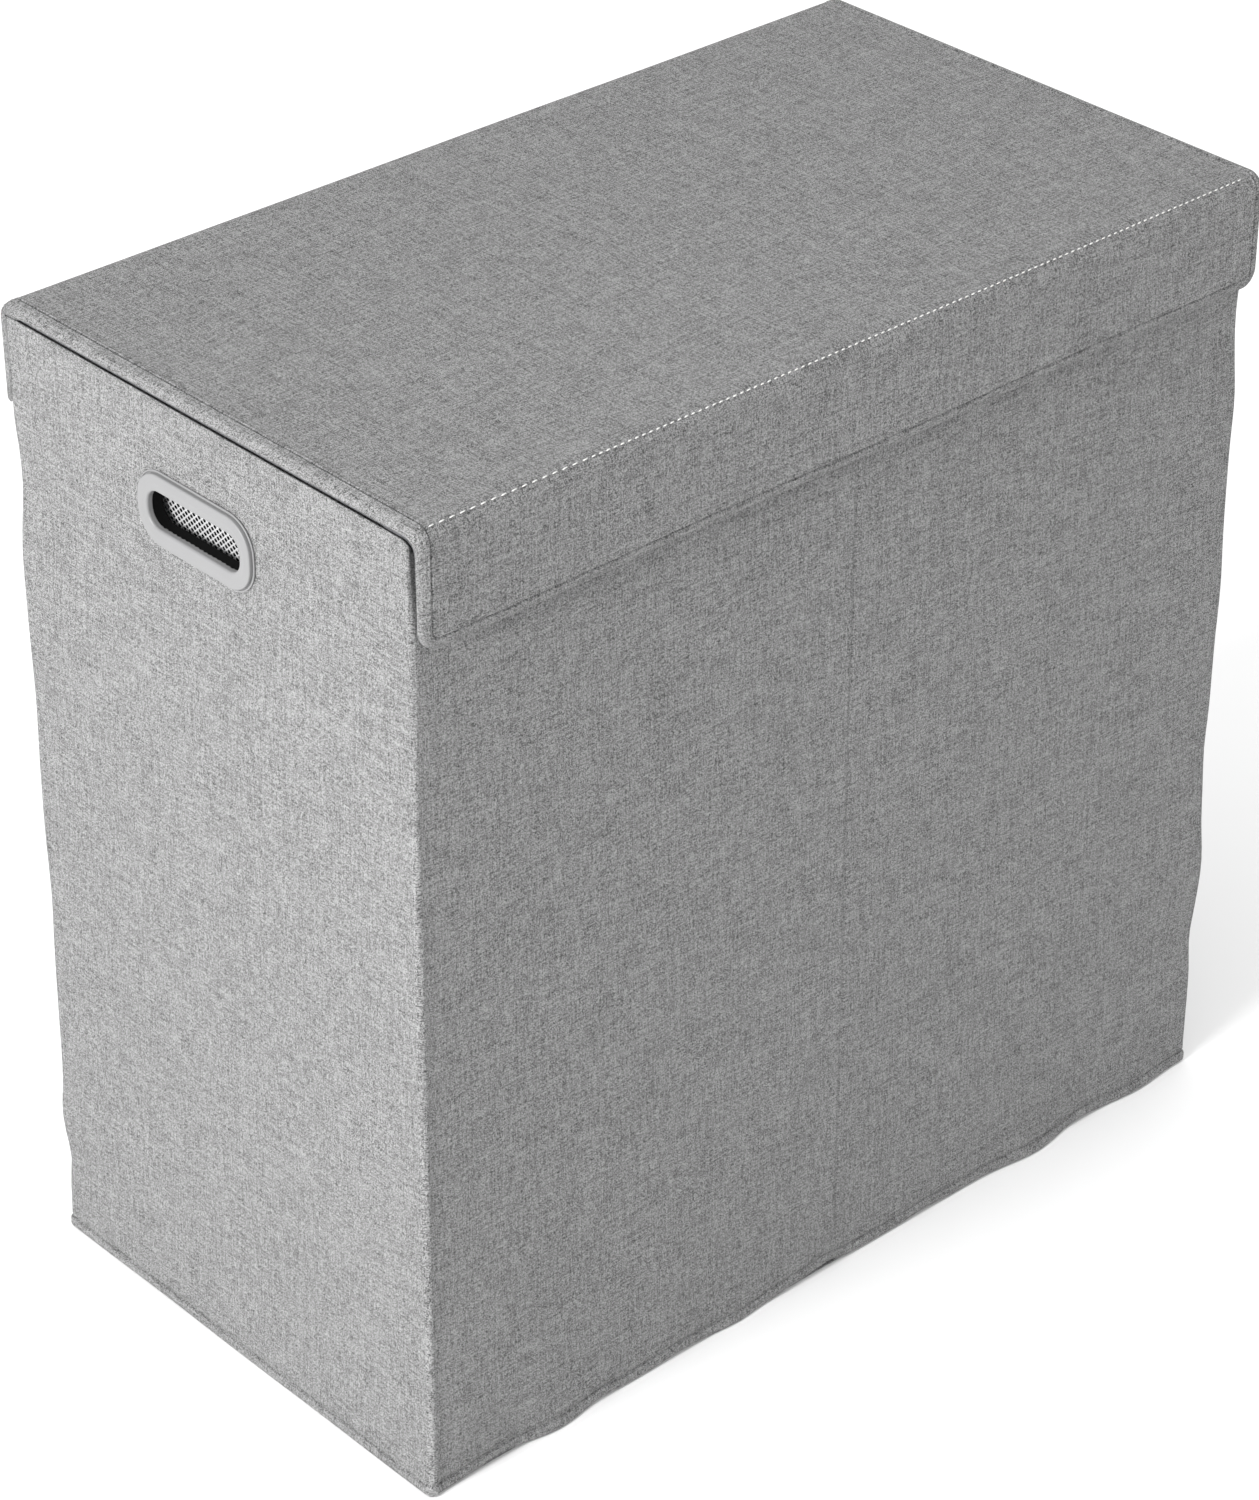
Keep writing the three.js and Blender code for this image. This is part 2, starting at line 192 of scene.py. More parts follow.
def cloth_map(tree):
    """The two coordinates of the cloth's own map, in metres along its threads."""
    return separate(tree, Value.make(tree, "UVMap", {"uv_map": "cloth"}))[:2]


def place_in_object(tree):
    """The place on the piece in metres, which is its place in the frame too."""
    return Value.make(tree, "TexCoord", output="Object")


def vector(tree, x, y, z=0.0):
    """A vector from three values or links."""
    return Value.make(tree, "CombineXYZ", inputs={0: x, 1: y, 2: z})


def noise(tree, place, scale, detail=2.0, roughness=0.5):
    """Smooth noise about 0.5, with this many waves to the metre, or to the unit of the place."""
    inputs = {"Vector": place, "Scale": scale, "Detail": detail, "Roughness": roughness}
    return Value.make(tree, "TexNoise", inputs=inputs)


def mix_colour(tree, factor, first, second):
    """Two colours mixed by a factor; each is a colour of four numbers or a link."""
    return Value.make(tree, "Mix", {"data_type": "RGBA"}, {0: factor, 6: first, 7: second}, 2)


def grey(tone, tint=1.0):
    """A linear grey with a little more or less blue."""
    return (tone, tone, tone * tint, 1)


def bump(tree, shader, height, distance, strength=1.0):
    """Feeds a height, 1 being distance high, through a Bump node to the shader's normal."""
    inputs = {"Height": height, "Distance": distance, "Strength": strength}
    normal = Value.make(tree, "Bump", inputs=inputs)
    tree.links.new(normal.socket, shader.inputs["Normal"])


def feed(tree, value, shader, key):
    """Links a value to the shader's socket of that name."""
    tree.links.new(value.socket, shader.inputs[key])


# Materials


def yarns(tree, across, along, pitch, slub, shift):
    """The tone of parallel yarns: each has its own run of light and dark slubs along its length."""
    apart = 7.31
    number = (across / pitch).math("FLOOR")
    place = vector(tree, number * apart, along / slub, shift)
    return noise(tree, place, 1.0, 1.0)


def dashes(tree, number, along, length, shift):
    """Random tones of short dashes in a row on each numbered yarn, staggered from yarn to yarn."""
    stagger = 0.37
    place = (along / length + number * stagger).math("FLOOR")
    cell = vector(tree, number, place, shift)
    return Value.make(tree, "TexWhiteNoise", {"noise_dimensions": "3D"}, {0: cell})


def heather_cloth():
    """Linen-look cloth: yarns both ways, each with dark and light dashes and slubs, in a plain weave.

    Its tone adds a fine part, random by thread crossing and by dash, to a slow one of slubs and clouds.
    Its height is the round of the yarn on top, warp and weft in turn, with thick slubs and dashes.
    """
    material, tree, shader = new_material("heather_cloth", (0.25, 0.25, 0.25), 0.92, sheen_weight=0.1)
    u, v = cloth_map(tree)
    pitch, dash_length = 0.42 * MM, 1.3 * MM
    slub_width, slub_length = 0.55 * MM, 24 * MM
    wander = noise(tree, vector(tree, u, v), 40.0, 1.0) * (0.8 * MM)
    across, along_it = u + wander, v + wander
    warp = yarns(tree, across, v, slub_width, slub_length, 0.0).between(0.36, 0.64)
    weft = yarns(tree, along_it, u, slub_width, slub_length, 40.0).between(0.36, 0.64)
    columns, rows = across / pitch, along_it / pitch
    column, row = columns.math("FLOOR"), rows.math("FLOOR")
    over = ((column + row) / 2).math("FRACT").between(0.2, 0.3)
    crossing = vector(tree, column, row)
    cells = Value.make(tree, "TexWhiteNoise", {"noise_dimensions": "2D"}, {0: crossing})
    both_dashes = dashes(tree, column, v, dash_length, 3.0) + dashes(tree, row, u, dash_length, 8.0)
    mottle = noise(tree, vector(tree, u, v), 90.0, 2.0)
    fine = cells * 0.95 + both_dashes * 0.26 - 0.735
    slow = (warp + weft - 1) * 0.2 + (warp - weft) * (over - 0.5) * 0.1 + mottle * 0.06 - 0.03
    dark_yarn, light_yarn = grey(0.024), grey(0.475)
    feed(tree, mix_colour(tree, fine + slow + 0.5, dark_yarn, light_yarn), shader, "Base Color")
    round_warp = (columns.math("FRACT") * math.pi).math("SINE")
    round_weft = (rows.math("FRACT") * math.pi).math("SINE")
    weave = round_warp * (1 - over) + round_weft * over
    height = weave * 0.8 + (warp + weft) * 0.5 + cells * 2.0 + both_dashes * 0.5
    bump(tree, shader, height, 0.3 * MM)
    return material


def lining_cloth():
    """Dark bonded lining, with a fine pebbled face."""
    material, tree, shader = new_material("lining_cloth", (0.09, 0.09, 0.1), 0.9)
    place = place_in_object(tree)
    speckle = noise(tree, place, 900.0, 2.0)
    dark, light = grey(0.055, 1.08), grey(0.13, 1.06)
    feed(tree, mix_colour(tree, speckle.between(0.3, 0.7), dark, light), shader, "Base Color")
    pebble = Value.make(tree, "TexVoronoi", inputs={"Vector": place, "Scale": 650.0})
    bump(tree, shader, pebble + speckle * 0.5, 0.15 * MM, 0.6)
    return material


def fibre_board():
    """Brown compressed board, with pressed fibres of several lengths."""
    material, tree, shader = new_material("board", (0.36, 0.27, 0.18), 0.88)
    place = place_in_object(tree)
    fibres = noise(tree, place, 420.0, 5.0, 0.7)
    clouds = noise(tree, place, 35.0, 2.0)
    tone = fibres * 0.7 + clouds * 0.3
    dark, light = (0.25, 0.18, 0.11, 1), (0.45, 0.35, 0.24, 1)
    feed(tree, mix_colour(tree, tone.between(0.3, 0.7), dark, light), shader, "Base Color")
    bump(tree, shader, fibres, 0.2 * MM, 0.5)
    return material


def grip_plastic():
    """Light grey moulded plastic with a spark-eroded satin face."""
    material, tree, shader = new_material("grip_plastic", (0.205, 0.205, 0.207), 0.42)
    place = place_in_object(tree)
    grain = noise(tree, place, 2200.0, 2.0)
    patches = noise(tree, place, 60.0, 2.0)
    feed(tree, patches * 0.12 + grain * 0.08 + 0.32, shader, "Roughness")
    feed(tree, mix_colour(tree, patches, grey(0.195, 1.01), grey(0.215, 1.01)), shader, "Base Color")
    bump(tree, shader, grain, 0.03 * MM, 0.6)
    return material


def painted_shade_plastic():
    """Nearly black moulded plastic, matt, with little specular: painted shade for the shadowed inside of the
    grips' holes, in place of the grips' light grey plastic.
    """
    material, tree, shader = new_material("painted_shade_plastic", (0.008, 0.008, 0.009), 0.7)
    shader.inputs["Specular IOR Level"].default_value = 0.05
    grain = noise(tree, place_in_object(tree), 1800.0, 2.0)
    feed(tree, mix_colour(tree, grain, grey(0.004), grey(0.007)), shader, "Base Color")
    bump(tree, shader, grain, 0.03 * MM, 0.5)
    return material


def bin_netting():
    """White knitted netting: round strands on two slanting rows, open between them.

    A strand is where the slanting saw waves, put together as (a^4 + b^4)^(1/4), come over a limit.
    """
    material, tree, shader = new_material("bin_mesh", (0.52, 0.52, 0.53), 0.7, sheen_weight=0.2)
    u, v = cloth_map(tree)
    wide, tall, limit = 4.4 * MM, 4.0 * MM, 0.67
    rising = ((u / wide + v / tall).math("FRACT") * 2 - 1).math("ABSOLUTE")
    falling = ((u / wide - v / tall).math("FRACT") * 2 - 1).math("ABSOLUTE")
    strand = (rising ** 4.0 + falling ** 4.0) ** 0.25
    feed(tree, strand.math("GREATER_THAN", limit), shader, "Alpha")
    twist = noise(tree, vector(tree, u, v), 2600.0, 1.0)
    colour = mix_colour(tree, twist.between(0.3, 0.7), grey(0.42, 1.01), grey(0.60, 1.01))
    feed(tree, colour, shader, "Base Color")
    bump(tree, shader, strand.between(0.6, 1.0) + twist * 0.3, 0.5 * MM)
    return material


def woven_webbing():
    """Grey webbing: ribs along its length, each a row of slanting stitches, lighter on top and darker in the
    grooves as painted shade.
    """
    material, tree, shader = new_material("webbing", (0.19, 0.19, 0.2), 0.8, sheen_weight=0.1)
    u, v = cloth_map(tree)
    rib_width, pick_length = 1.6 * MM, 1.1 * MM
    rib, pick = u / rib_width, v / pick_length
    chevron = ((rib.math("FRACT") - 0.5).math("ABSOLUTE") * 1.2 + pick).math("FRACT")
    height = (chevron * math.pi).math("SINE") * (rib.math("FRACT") * math.pi).math("SINE")
    fibres = noise(tree, vector(tree, u, v), 1800.0, 2.0)
    # Painted shade: the tone follows the ribs' height, darker in the grooves between them, plus the fibres'
    # own random tone.
    tone = height * 0.6 + fibres * 0.5
    colour = mix_colour(tree, tone.between(0.1, 0.9), grey(0.09, 1.05), grey(0.27, 1.04))
    feed(tree, colour, shader, "Base Color")
    bump(tree, shader, height + fibres * 0.3, 0.35 * MM)
    return material


def hook_and_loop():
    """Dark fastener tape with a dense tangled face."""
    material, tree, shader = new_material("hook_and_loop", (0.05, 0.05, 0.055), 0.95)
    place = place_in_object(tree)
    tangle = noise(tree, place, 1500.0, 4.0, 0.75)
    colour = mix_colour(tree, tangle.between(0.35, 0.65), grey(0.025, 1.1), grey(0.09, 1.08))
    feed(tree, colour, shader, "Base Color")
    bump(tree, shader, tangle, 0.6 * MM)
    return material


def pale_thread():
    """Off-white twisted sewing thread, darker between its plies as painted shade."""
    material, tree, shader = new_material("pale_thread", (0.72, 0.72, 0.71), 0.6, sheen_weight=0.2)
    x, y, _ = separate(tree, place_in_object(tree))
    ply_along, ply_across = 0.5 * MM, 0.4 * MM
    ply = ((x / ply_along + y / ply_across).math("FRACT") * math.pi).math("SINE")
    # Painted shade: the tone follows the plies' height, darker in the grooves between them.
    feed(tree, mix_colour(tree, ply, grey(0.55, 0.98), grey(0.85, 0.98)), shader, "Base Color")
    bump(tree, shader, ply, 0.08 * MM)
    return material


def stage_floor():
    """The white floor, with very faint clouds."""
    material, tree, shader = new_material("stage_floor", (0.93, 0.93, 0.93), 0.9)
    tint = noise(tree, place_in_object(tree), 3.0, 1.0)
    feed(tree, mix_colour(tree, tint, grey(0.925), grey(0.935)), shader, "Base Color")
    return material


MATERIALS = {
    "heather_cloth": heather_cloth(),
    "lining_cloth": lining_cloth(),
    "board": fibre_board(),
    "grip_plastic": grip_plastic(),
    "bin_mesh": bin_netting(),
    "webbing": woven_webbing(),
    "hook_and_loop": hook_and_loop(),
}


# Surfaces


def patch(points, uv=None, flip=False, keep=None):
    """A grid of points, rows by columns by three, as vertices, four-sided faces and the faces' map."""
    rows, columns = points.shape[:2]
    index = np.arange(rows * columns).reshape(rows, columns)
    faces = np.stack([index[:-1, :-1], index[:-1, 1:], index[1:, 1:], index[1:, :-1]], axis=-1)
    faces = faces[keep] if keep is not None else faces.reshape(-1, 4)
    if flip:
        faces = faces[:, ::-1]
    uv = np.zeros((rows, columns, 2)) if uv is None else uv
    return points.reshape(-1, 3), faces, uv.reshape(-1, 2)[faces]


def build(name, slot, patches, material=None):
    """One smooth mesh from patches, with touching edges welded and its map named cloth."""
    vertices, faces, maps, start = [], [], [], 0
    for points, quads, uv in patches:
        vertices.append(points)
        faces.append(quads + start)
        maps.append(uv)
        start += len(points)
    mesh = bpy.data.meshes.new(name)
    mesh.from_pydata(np.concatenate(vertices).tolist(), [], np.concatenate(faces).tolist())
    layer = mesh.uv_layers.new(name="cloth")
    layer.data.foreach_set("uv", np.concatenate(maps).astype(np.float32).ravel())
    weld(mesh)
    mesh.polygons.foreach_set("use_smooth", np.ones(len(mesh.polygons), bool))
    mesh.materials.append(material or MATERIALS[slot])
    piece = bpy.data.objects.new(name, mesh)
    bpy.context.scene.collection.objects.link(piece)
    return piece


def weld(mesh):
    """Merges vertices that lie together, so that seams and poles are closed."""
    form = bmesh.new()
    form.from_mesh(mesh)
    bmesh.ops.remove_doubles(form, verts=form.verts, dist=1e-6)
    form.to_mesh(mesh)
    form.free()


def thicken(piece, thickness):
    """Gives a sheet its thickness behind its outer face."""
    solidify = piece.modifiers.new("thickness", "SOLIDIFY")
    solidify.thickness = thickness
    solidify.offset = -1


def rounded_path(corners, radii, steps=8):
    """Straight legs through the corners, each inner corner turned on an arc of its own radius.

    An arc's points are its two ends' directions from its centre, mixed by sines so that the turn is even.
    Gives the points, their distances along the path, and the distances at which the arcs start and end.
    """
    corners = [np.array(corner, float) for corner in corners]
    points, ends = [corners[0]], []
    for before, corner, after, radius in zip(corners, corners[1:], corners[2:], radii):
        back = (before - corner) / np.linalg.norm(before - corner)
        on = (after - corner) / np.linalg.norm(after - corner)
        half = math.acos(np.clip(back @ on, -1, 1)) / 2
        middle = (back + on) / np.linalg.norm(back + on)
        centre = corner + middle * radius / math.sin(half)
        first = corner + back * radius / math.tan(half) - centre
        last = corner + on * radius / math.tan(half) - centre
        turn = math.pi - 2 * half
        share = np.linspace(0, 1, steps + 1)[:, None]
        arc = centre + (np.sin((1 - share) * turn) * first + np.sin(share * turn) * last) / math.sin(turn)
        ends += [len(points), len(points) + steps]
        points.extend(arc)
    points = np.array([*points, corners[-1]])
    steps_between = np.linalg.norm(np.diff(points, axis=0), axis=1)
    distance = np.concatenate([[0], np.cumsum(steps_between)])
    return points, distance, distance[ends]


def along(path, distance):
    """The points of a path at these distances along it."""
    points, distances = path[:2]
    return np.stack([np.interp(distance, distances, points[:, k]) for k in range(2)], axis=-1)


def ring_map(a, b, corner, edge):
    """Where a plate with rolled edges has a point whose unrolled distances to two edges are a and b.

    The lesser of the two is the ring that the point is on, and edge(ring) gives that ring's inset and its
    depth. Nearer than corner to both edges, the ring turns on an arc about the point (corner, corner), and
    the point goes round it by its share of the ring that is left there. Gives both insets and the depth.
    """
    ring = np.minimum(a, b)
    inset, depth = edge(ring)
    near = np.maximum(a, b) < corner
    turn = math.pi / 4 * (1 - np.abs(a - b) / np.maximum(corner - ring, 1e-9))
    radius = corner - inset
    close, far = corner - radius * np.cos(turn), corner - radius * np.sin(turn)
    first = a <= b
    inset_a = np.where(near, np.where(first, close, far), np.where(first, inset, a))
    inset_b = np.where(near, np.where(first, far, close), np.where(first, b, inset))
    return inset_a, inset_b, depth


def rolled_edge(path, start):
    """The edge function of a plate: flat down to start, and from there along a path of (inset, depth)."""

    def edge(ring):
        inset, depth = np.moveaxis(along(path, np.maximum(start - ring, 0)), -1, 0)
        return np.where(ring > start, ring, inset), np.where(ring > start, 0, depth)

    return edge


def stations(half, reach, start, length, coarse):
    """Unrolled distances from an edge to the middle: finest over its rolled part, coarse past its reach."""
    rolled = start - np.linspace(length, 0, 7)
    bend = np.linspace(start, reach, max(round(5 * (reach - start) / reach), 1) + 1)
    flat = np.linspace(reach, half, max(round((half - reach) / coarse), 1) + 1)
    return np.concatenate([rolled, bend[1:], flat[1:]])


def both_sides(distances):
    """Distances from one edge up to the middle, then down again to the other, and each one's side."""
    back = distances[-2::-1]
    return np.concatenate([distances, back]), np.repeat([-1.0, 1.0], [len(distances), len(back)])


def panel(lowest, highest, axis, corner=2 * MM, edge_round=0.4 * MM, crown=0.0, coarse=25 * MM):
    """A flat piece that fills a box, thin along axis: two faces whose rolled edges meet half way through.

    Its outline has rounded corners, and each face rises by crown in its middle, as (1 - p^2)(1 - q^2).
    """
    p_axis, q_axis = (axis + 1) % 3, (axis + 2) % 3
    middle, half = (lowest + highest) / 2, (highest - lowest) / 2
    thick = half[axis]
    edge_round = min(edge_round, 0.98 * thick)
    corner = min(corner, 0.9 * min(half[p_axis], half[q_axis]))
    start = 1.2 * edge_round
    path = rounded_path([(start, 0), (0, 0), (0, thick)], [edge_round], 5)
    reach, length = max(corner, start), path[1][-1]
    (a, side_a), (b, side_b) = (
        both_sides(stations(half[wide], reach, start, length, coarse)) for wide in (p_axis, q_axis)
    )
    a, b = np.meshgrid(a, b)
    side_a, side_b = np.meshgrid(side_a, side_b)
    inset_a, inset_b, depth = ring_map(a, b, corner, rolled_edge(path, start))
    p, q = side_a * (half[p_axis] - inset_a), side_b * (half[q_axis] - inset_b)
    rise = crown * (1 - (p / half[p_axis]) ** 2) * (1 - (q / half[q_axis]) ** 2)
    uv = np.stack([side_a * (half[p_axis] - a), side_b * (half[q_axis] - b)], axis=-1)
    faces = []
    for way in (1, -1):
        points = np.empty((*p.shape, 3))
        points[..., p_axis], points[..., q_axis] = p + middle[p_axis], q + middle[q_axis]
        points[..., axis] = middle[axis] + way * (thick - depth + rise)
        faces.append(patch(points, uv, flip=way < 0))
    return faces


def plan_loop(half_x, half_y, radius, xs, ys, corner_steps):
    """Columns round a rectangle with round corners, anticlockwise from the left end of its front.

    Each column has a core point, on the rectangle of the corners' centres, and an outward direction. The
    first column comes again at the end. Gives the cores, the directions and the distances along.
    """
    core_x, core_y = half_x - radius, half_y - radius
    cores, ways = [], []
    legs = [(xs, -core_y, 0), (ys, core_x, 1), (xs[::-1], core_y, 0), (ys[::-1], -core_x, 1)]
    for turn, (line, other, axis) in enumerate(legs):
        leg = np.stack([line, np.full(len(line), other)], axis=-1)
        leg = leg if axis == 0 else leg[:, ::-1]
        angle = (turn - 1) * math.pi / 2
        cores.append(leg)
        ways.append(np.tile([math.cos(angle), math.sin(angle)], (len(line), 1)))
        bend = angle + np.linspace(0, math.pi / 2, corner_steps + 1)[1:-1]
        cores.append(np.tile(leg[-1], (len(bend), 1)))
        ways.append(np.stack([np.cos(bend), np.sin(bend)], axis=-1))
    core, way = np.concatenate(cores), np.concatenate(ways)
    core, way = np.concatenate([core, core[:1]]), np.concatenate([way, way[:1]])
    step = np.linalg.norm(np.diff(core + way * radius, axis=0), axis=1)
    return core, way, np.concatenate([[0], np.cumsum(step)])


def wall_points(loop, half_x, half_y, radius, inset, height, corner=None, least=0.6 * MM):
    """Points at an inset from a plan loop and at a height, each an array of rows by columns.

    The corner may have another radius than the loop's, and grows once the inset is more than it, so that
    it keeps at least a small one: place = core * shrink + direction * (radius there - inset).
    """
    core, way, _ = loop
    bend = np.maximum(radius if corner is None else corner, inset + least)
    shrink = np.stack([(half_x - bend) / (half_x - radius), (half_y - bend) / (half_y - radius)], axis=-1)
    place = core * shrink + way * (bend - inset)[..., None]
    return np.concatenate([place, height[..., None]], axis=-1)


def ripple(a, b, waves):
    """A sum of crossing sine waves, each with a count over a, a length along b, a phase and a height."""
    return sum(
        height * np.sin(2 * math.pi * (a * count + b / length) + phase)
        for count, length, phase, height in waves
    )


def bell(place, middle, half_length):
    """1 at the middle and 0 a good half length away, as exp(-(distance / half length)^2)."""
    return np.exp(-(((place - middle) / half_length) ** 2))


def spaced(start, end, step, extra=()):
    """Even places from start to end, with some more, and none closer than a third of a step to those."""
    even = np.linspace(start, end, round((end - start) / step) + 1)
    extra = np.array(sorted(extra))
    if len(extra) == 0:
        return even
    apart = np.abs(even[:, None] - extra).min(axis=1) > step / 3
    apart[[0, -1]] = True
    return np.unique(np.concatenate([even[apart], extra]))


def smooth(value, start, end):
    """0 up to start, 1 from end on, and 3t^2 - 2t^3 in between."""
    t = np.clip((value - start) / (end - start), 0, 1)
    return t * t * (3 - 2 * t)


def box_loop(half_x, half_y, radius, steps, corner_steps, more_x=(), more_y=()):
    """A plan loop whose columns are these steps apart along x and y, with more where they are needed."""
    xs = spaced(-(half_x - radius), half_x - radius, steps[0], more_x)
    ys = spaced(-(half_y - radius), half_y - radius, steps[1], more_y)
    return plan_loop(half_x, half_y, radius, xs, ys, corner_steps)


def profile_grid(path, rows, columns):
    """The inset and the height of a path at each row's distance along it, as rows by columns."""
    inset, height = np.moveaxis(along(path, rows), -1, 0)
    shape = (len(rows), columns)
    return np.broadcast_to(inset[:, None], shape), np.broadcast_to(height[:, None], shape)


def grid_map(across, down):
    """The map of a grid whose columns and rows lie at these distances."""
    return np.stack(np.meshgrid(across, down), axis=-1)


# Body cloth


# The walls' slow ripples, as ripple() takes them: a count round the hamper and a length up it
WALL_WAVES = [
    (6, 0.52, 0.4, 0.22 * MM),
    (-10, 0.33, 1.9, 0.18 * MM),
    (16, 0.61, 4.0, 0.12 * MM),
    (26, -0.17, 2.6, 0.07 * MM),
]
# The front hem lifts where the last number is positive, and kicks out where it is negative. Each wave has
# its middle along x, half its length and its height.
HEM_WAVES = [
    (-0.262, 0.022, 2.8 * MM),
    (-0.217, 0.020, -2.8 * MM),
    (-0.181, 0.011, 2.0 * MM),
    (-0.120, 0.018, 1.5 * MM),
    (-0.078, 0.016, -1.3 * MM),
    (-0.022, 0.026, 2.8 * MM),
    (-0.005, 0.009, 2.4 * MM),
    (0.073, 0.014, 2.0 * MM),
    (0.165, 0.026, -3.8 * MM),
    (0.210, 0.015, 2.6 * MM),
    (0.260, 0.022, -2.4 * MM),
]
# The tall edges at two corners lean in and out, each wave having a height, half its length and its push
EDGE_WAVES = {
    (1, -1): [
        (0.515, 0.030, -1.4 * MM),
        (0.462, 0.020, 0.6 * MM),
        (0.340, 0.030, 0.8 * MM),
        (0.228, 0.022, -0.8 * MM),
        (0.147, 0.026, 1.7 * MM),
        (0.092, 0.018, -1.2 * MM),
    ],
    (-1, 1): [
        (0.500, 0.022, -0.9 * MM),
        (0.455, 0.030, 0.8 * MM),
        (0.365, 0.030, -0.5 * MM),
        (0.235, 0.030, -0.7 * MM),
        (0.084, 0.018, 1.3 * MM),
        (0.050, 0.012, -1.0 * MM),
    ],
}
# How far the left wall bows out under the grip, and how much more at its foot
LEFT_BOW = 1.6 * MM
LEFT_KICK = 1.8 * MM
# The grips' place, and the openings that the cloth, the lining and the side boards leave for them
GRIP_LOW, GRIP_HIGH = low("left_grip_bezel"), high("left_grip_bezel")
GRIP_MIDDLE = (GRIP_LOW + GRIP_HIGH) / 2
COLLAR_FLANGE = 7 * MM
OPENING_SPARE = 0.8 * MM
COLLAR_HALF = (high("left_grip_collar") - low("left_grip_collar"))[1:] / 2
OPENING_HALF = COLLAR_HALF - COLLAR_FLANGE + OPENING_SPARE


def grip_lines():
    """The places along y and z of the edges of the grips' openings."""
    along_y = GRIP_MIDDLE[1] + OPENING_HALF[0] * np.array([-1, 1])
    along_z = GRIP_MIDDLE[2] + OPENING_HALF[1] * np.array([-1, 1])
    return along_y, along_z


def around_grips(points):
    """The faces of a grid of wall points that aren't in a grip's opening."""
    (y0, y1), (z0, z1) = grip_lines()
    middle = (points[:-1, :-1] + points[1:, 1:]) / 2
    inside = (middle[..., 1] > y0) & (middle[..., 1] < y1) & (middle[..., 2] > z0) & (middle[..., 2] < z1)
    return ~(inside & (np.abs(middle[..., 0]) > WALL_INSIDE - 2 * MM))


def body_profile():
    """The body cloth's path of inset and height, from under the hem over the rim and down inside it.

    It has a hem with a rolled welt and a groove over it, the wall, a lip at the rim, a lower step behind
    the lip, and the turn down inside. Gives the path, the distances at which its wall starts and ends,
    and the inset of its last leg.
    """
    welt_out, groove = -0.9 * MM, 0.9 * MM
    lip, step = 1.0 * MM, 2.4 * MM
    inner = WALL_THICKNESS + 1.5 * MM
    corners = [
        (4 * MM, 0.5 * MM),
        (welt_out, 0),
        (welt_out, HEM_HEIGHT),
        (groove, HEM_HEIGHT + 0.7 * MM),
        (0, HEM_HEIGHT + 3.0 * MM),
        (0, RIM_TOP),
        (lip, RIM_TOP),
        (lip + 0.3 * MM, RIM_TOP - step),
        (inner, RIM_TOP - step),
        (inner, RIM_FOOT),
    ]
    radii = [1.3 * MM, 1.0 * MM, 0.3 * MM, 1.2 * MM, 0.45 * MM, 0.4 * MM, 0.3 * MM, 1.5 * MM]
    path = rounded_path(corners, radii, 6)
    return path, path[2][7], path[2][8], inner


def body_columns():
    """The body cloth's plan loop, closer at the crease, the grips' openings and the front corners."""
    crease = np.array([1, 2, 3, 4.5, 6.5]) * MM
    panel_round = -(HALF_DEPTH - BODY_CORNER) + np.array([0.7, 1.4, 2.2, 3.2, 4.4]) * MM
    more_x, more_y = [*-crease, 0, *crease], [*grip_lines()[0], *panel_round]
    return box_loop(HALF_WIDTH, HALF_DEPTH, BODY_CORNER, (7 * MM, 6 * MM), 5, more_x, more_y)


def wall_push(columns, upwards, free, under_rim):
    """How far the walls stand out: slow ripples, the boards' crease and the left wall's bow and kick.

    The crease, a narrow dip in a low wide ridge, runs down the middle of the front and the back. The
    kick dies away upwards as exp(-height / 40 mm).
    """
    core, way, distance = columns
    dip, dip_width, ridge, ridge_width = 0.9 * MM, 1.3 * MM, 0.35 * MM, 7 * MM
    crease = dip * bell(core[:, 0], 0, dip_width) - ridge * bell(core[:, 0], 0, ridge_width)
    waves = ripple(distance / distance[-1], upwards, WALL_WAVES)
    bow = LEFT_BOW * (1 - smooth(upwards, *LEFT_BOW_HEIGHTS))
    kick = LEFT_KICK * np.exp(-upwards / (40 * MM)) * under_rim
    return free * (waves - crease * np.abs(way[:, 1])) + np.clip(-way[:, 0], 0, 1) * (bow + kick)


def hem_waves(columns, upwards, under_rim):
    """How far the hem kicks out and how far it lifts, dying away upwards as exp(-height / 16 mm).

    The front's waves are summed as bells along x, and all of the hem lifts a little, by two sines.
    """
    core, way, distance = columns
    turn = distance / distance[-1]
    near_hem, on_front = np.exp(-upwards / (16 * MM)) * under_rim, np.clip(-way[:, 1], 0, 1)
    wave = sum(amount * bell(core[:, 0], place, reach) for place, reach, amount in HEM_WAVES)
    lifted, kicked = np.maximum(wave, 0), np.maximum(-wave, 0)
    small = 0.25 * MM * (2 + np.sin(28 * math.pi * turn) + np.sin(12 * math.pi * turn + 1))
    push = near_hem * on_front * (kicked * 1.3 + lifted * 0.2)
    return push, near_hem * (lifted * 1.15 * on_front + small)


def rim_drop(columns, upwards):
    """How far the rim drops at the panels' round front corners: R - sqrt(R^2 - (R - distance)^2)."""
    core, way, _ = columns
    to_front = np.clip(core[:, 1] - BODY_CORNER * np.clip(-way[:, 1], 0, 1) + HALF_DEPTH, 0, PANEL_ROUND)
    drop = PANEL_ROUND - np.sqrt(PANEL_ROUND**2 - (PANEL_ROUND - to_front) ** 2)
    return drop * np.clip((upwards - ROUND_FOOT) / (RIM_TOP - ROUND_FOOT), 0, 1)


def corner_radius(core, upwards):
    """The radius of the upright corners, sharper at the top of the back and softer at the front's."""
    back_top = smooth(upwards, *BACK_CORNER_HEIGHTS) * (core[:, 1] > 0)
    front_top = smooth(upwards, *FRONT_CORNER_HEIGHTS) * (core[:, 1] <= 0)
    return BODY_CORNER + (BACK_CORNER - BODY_CORNER) * back_top + FRONT_SOFTER * front_top


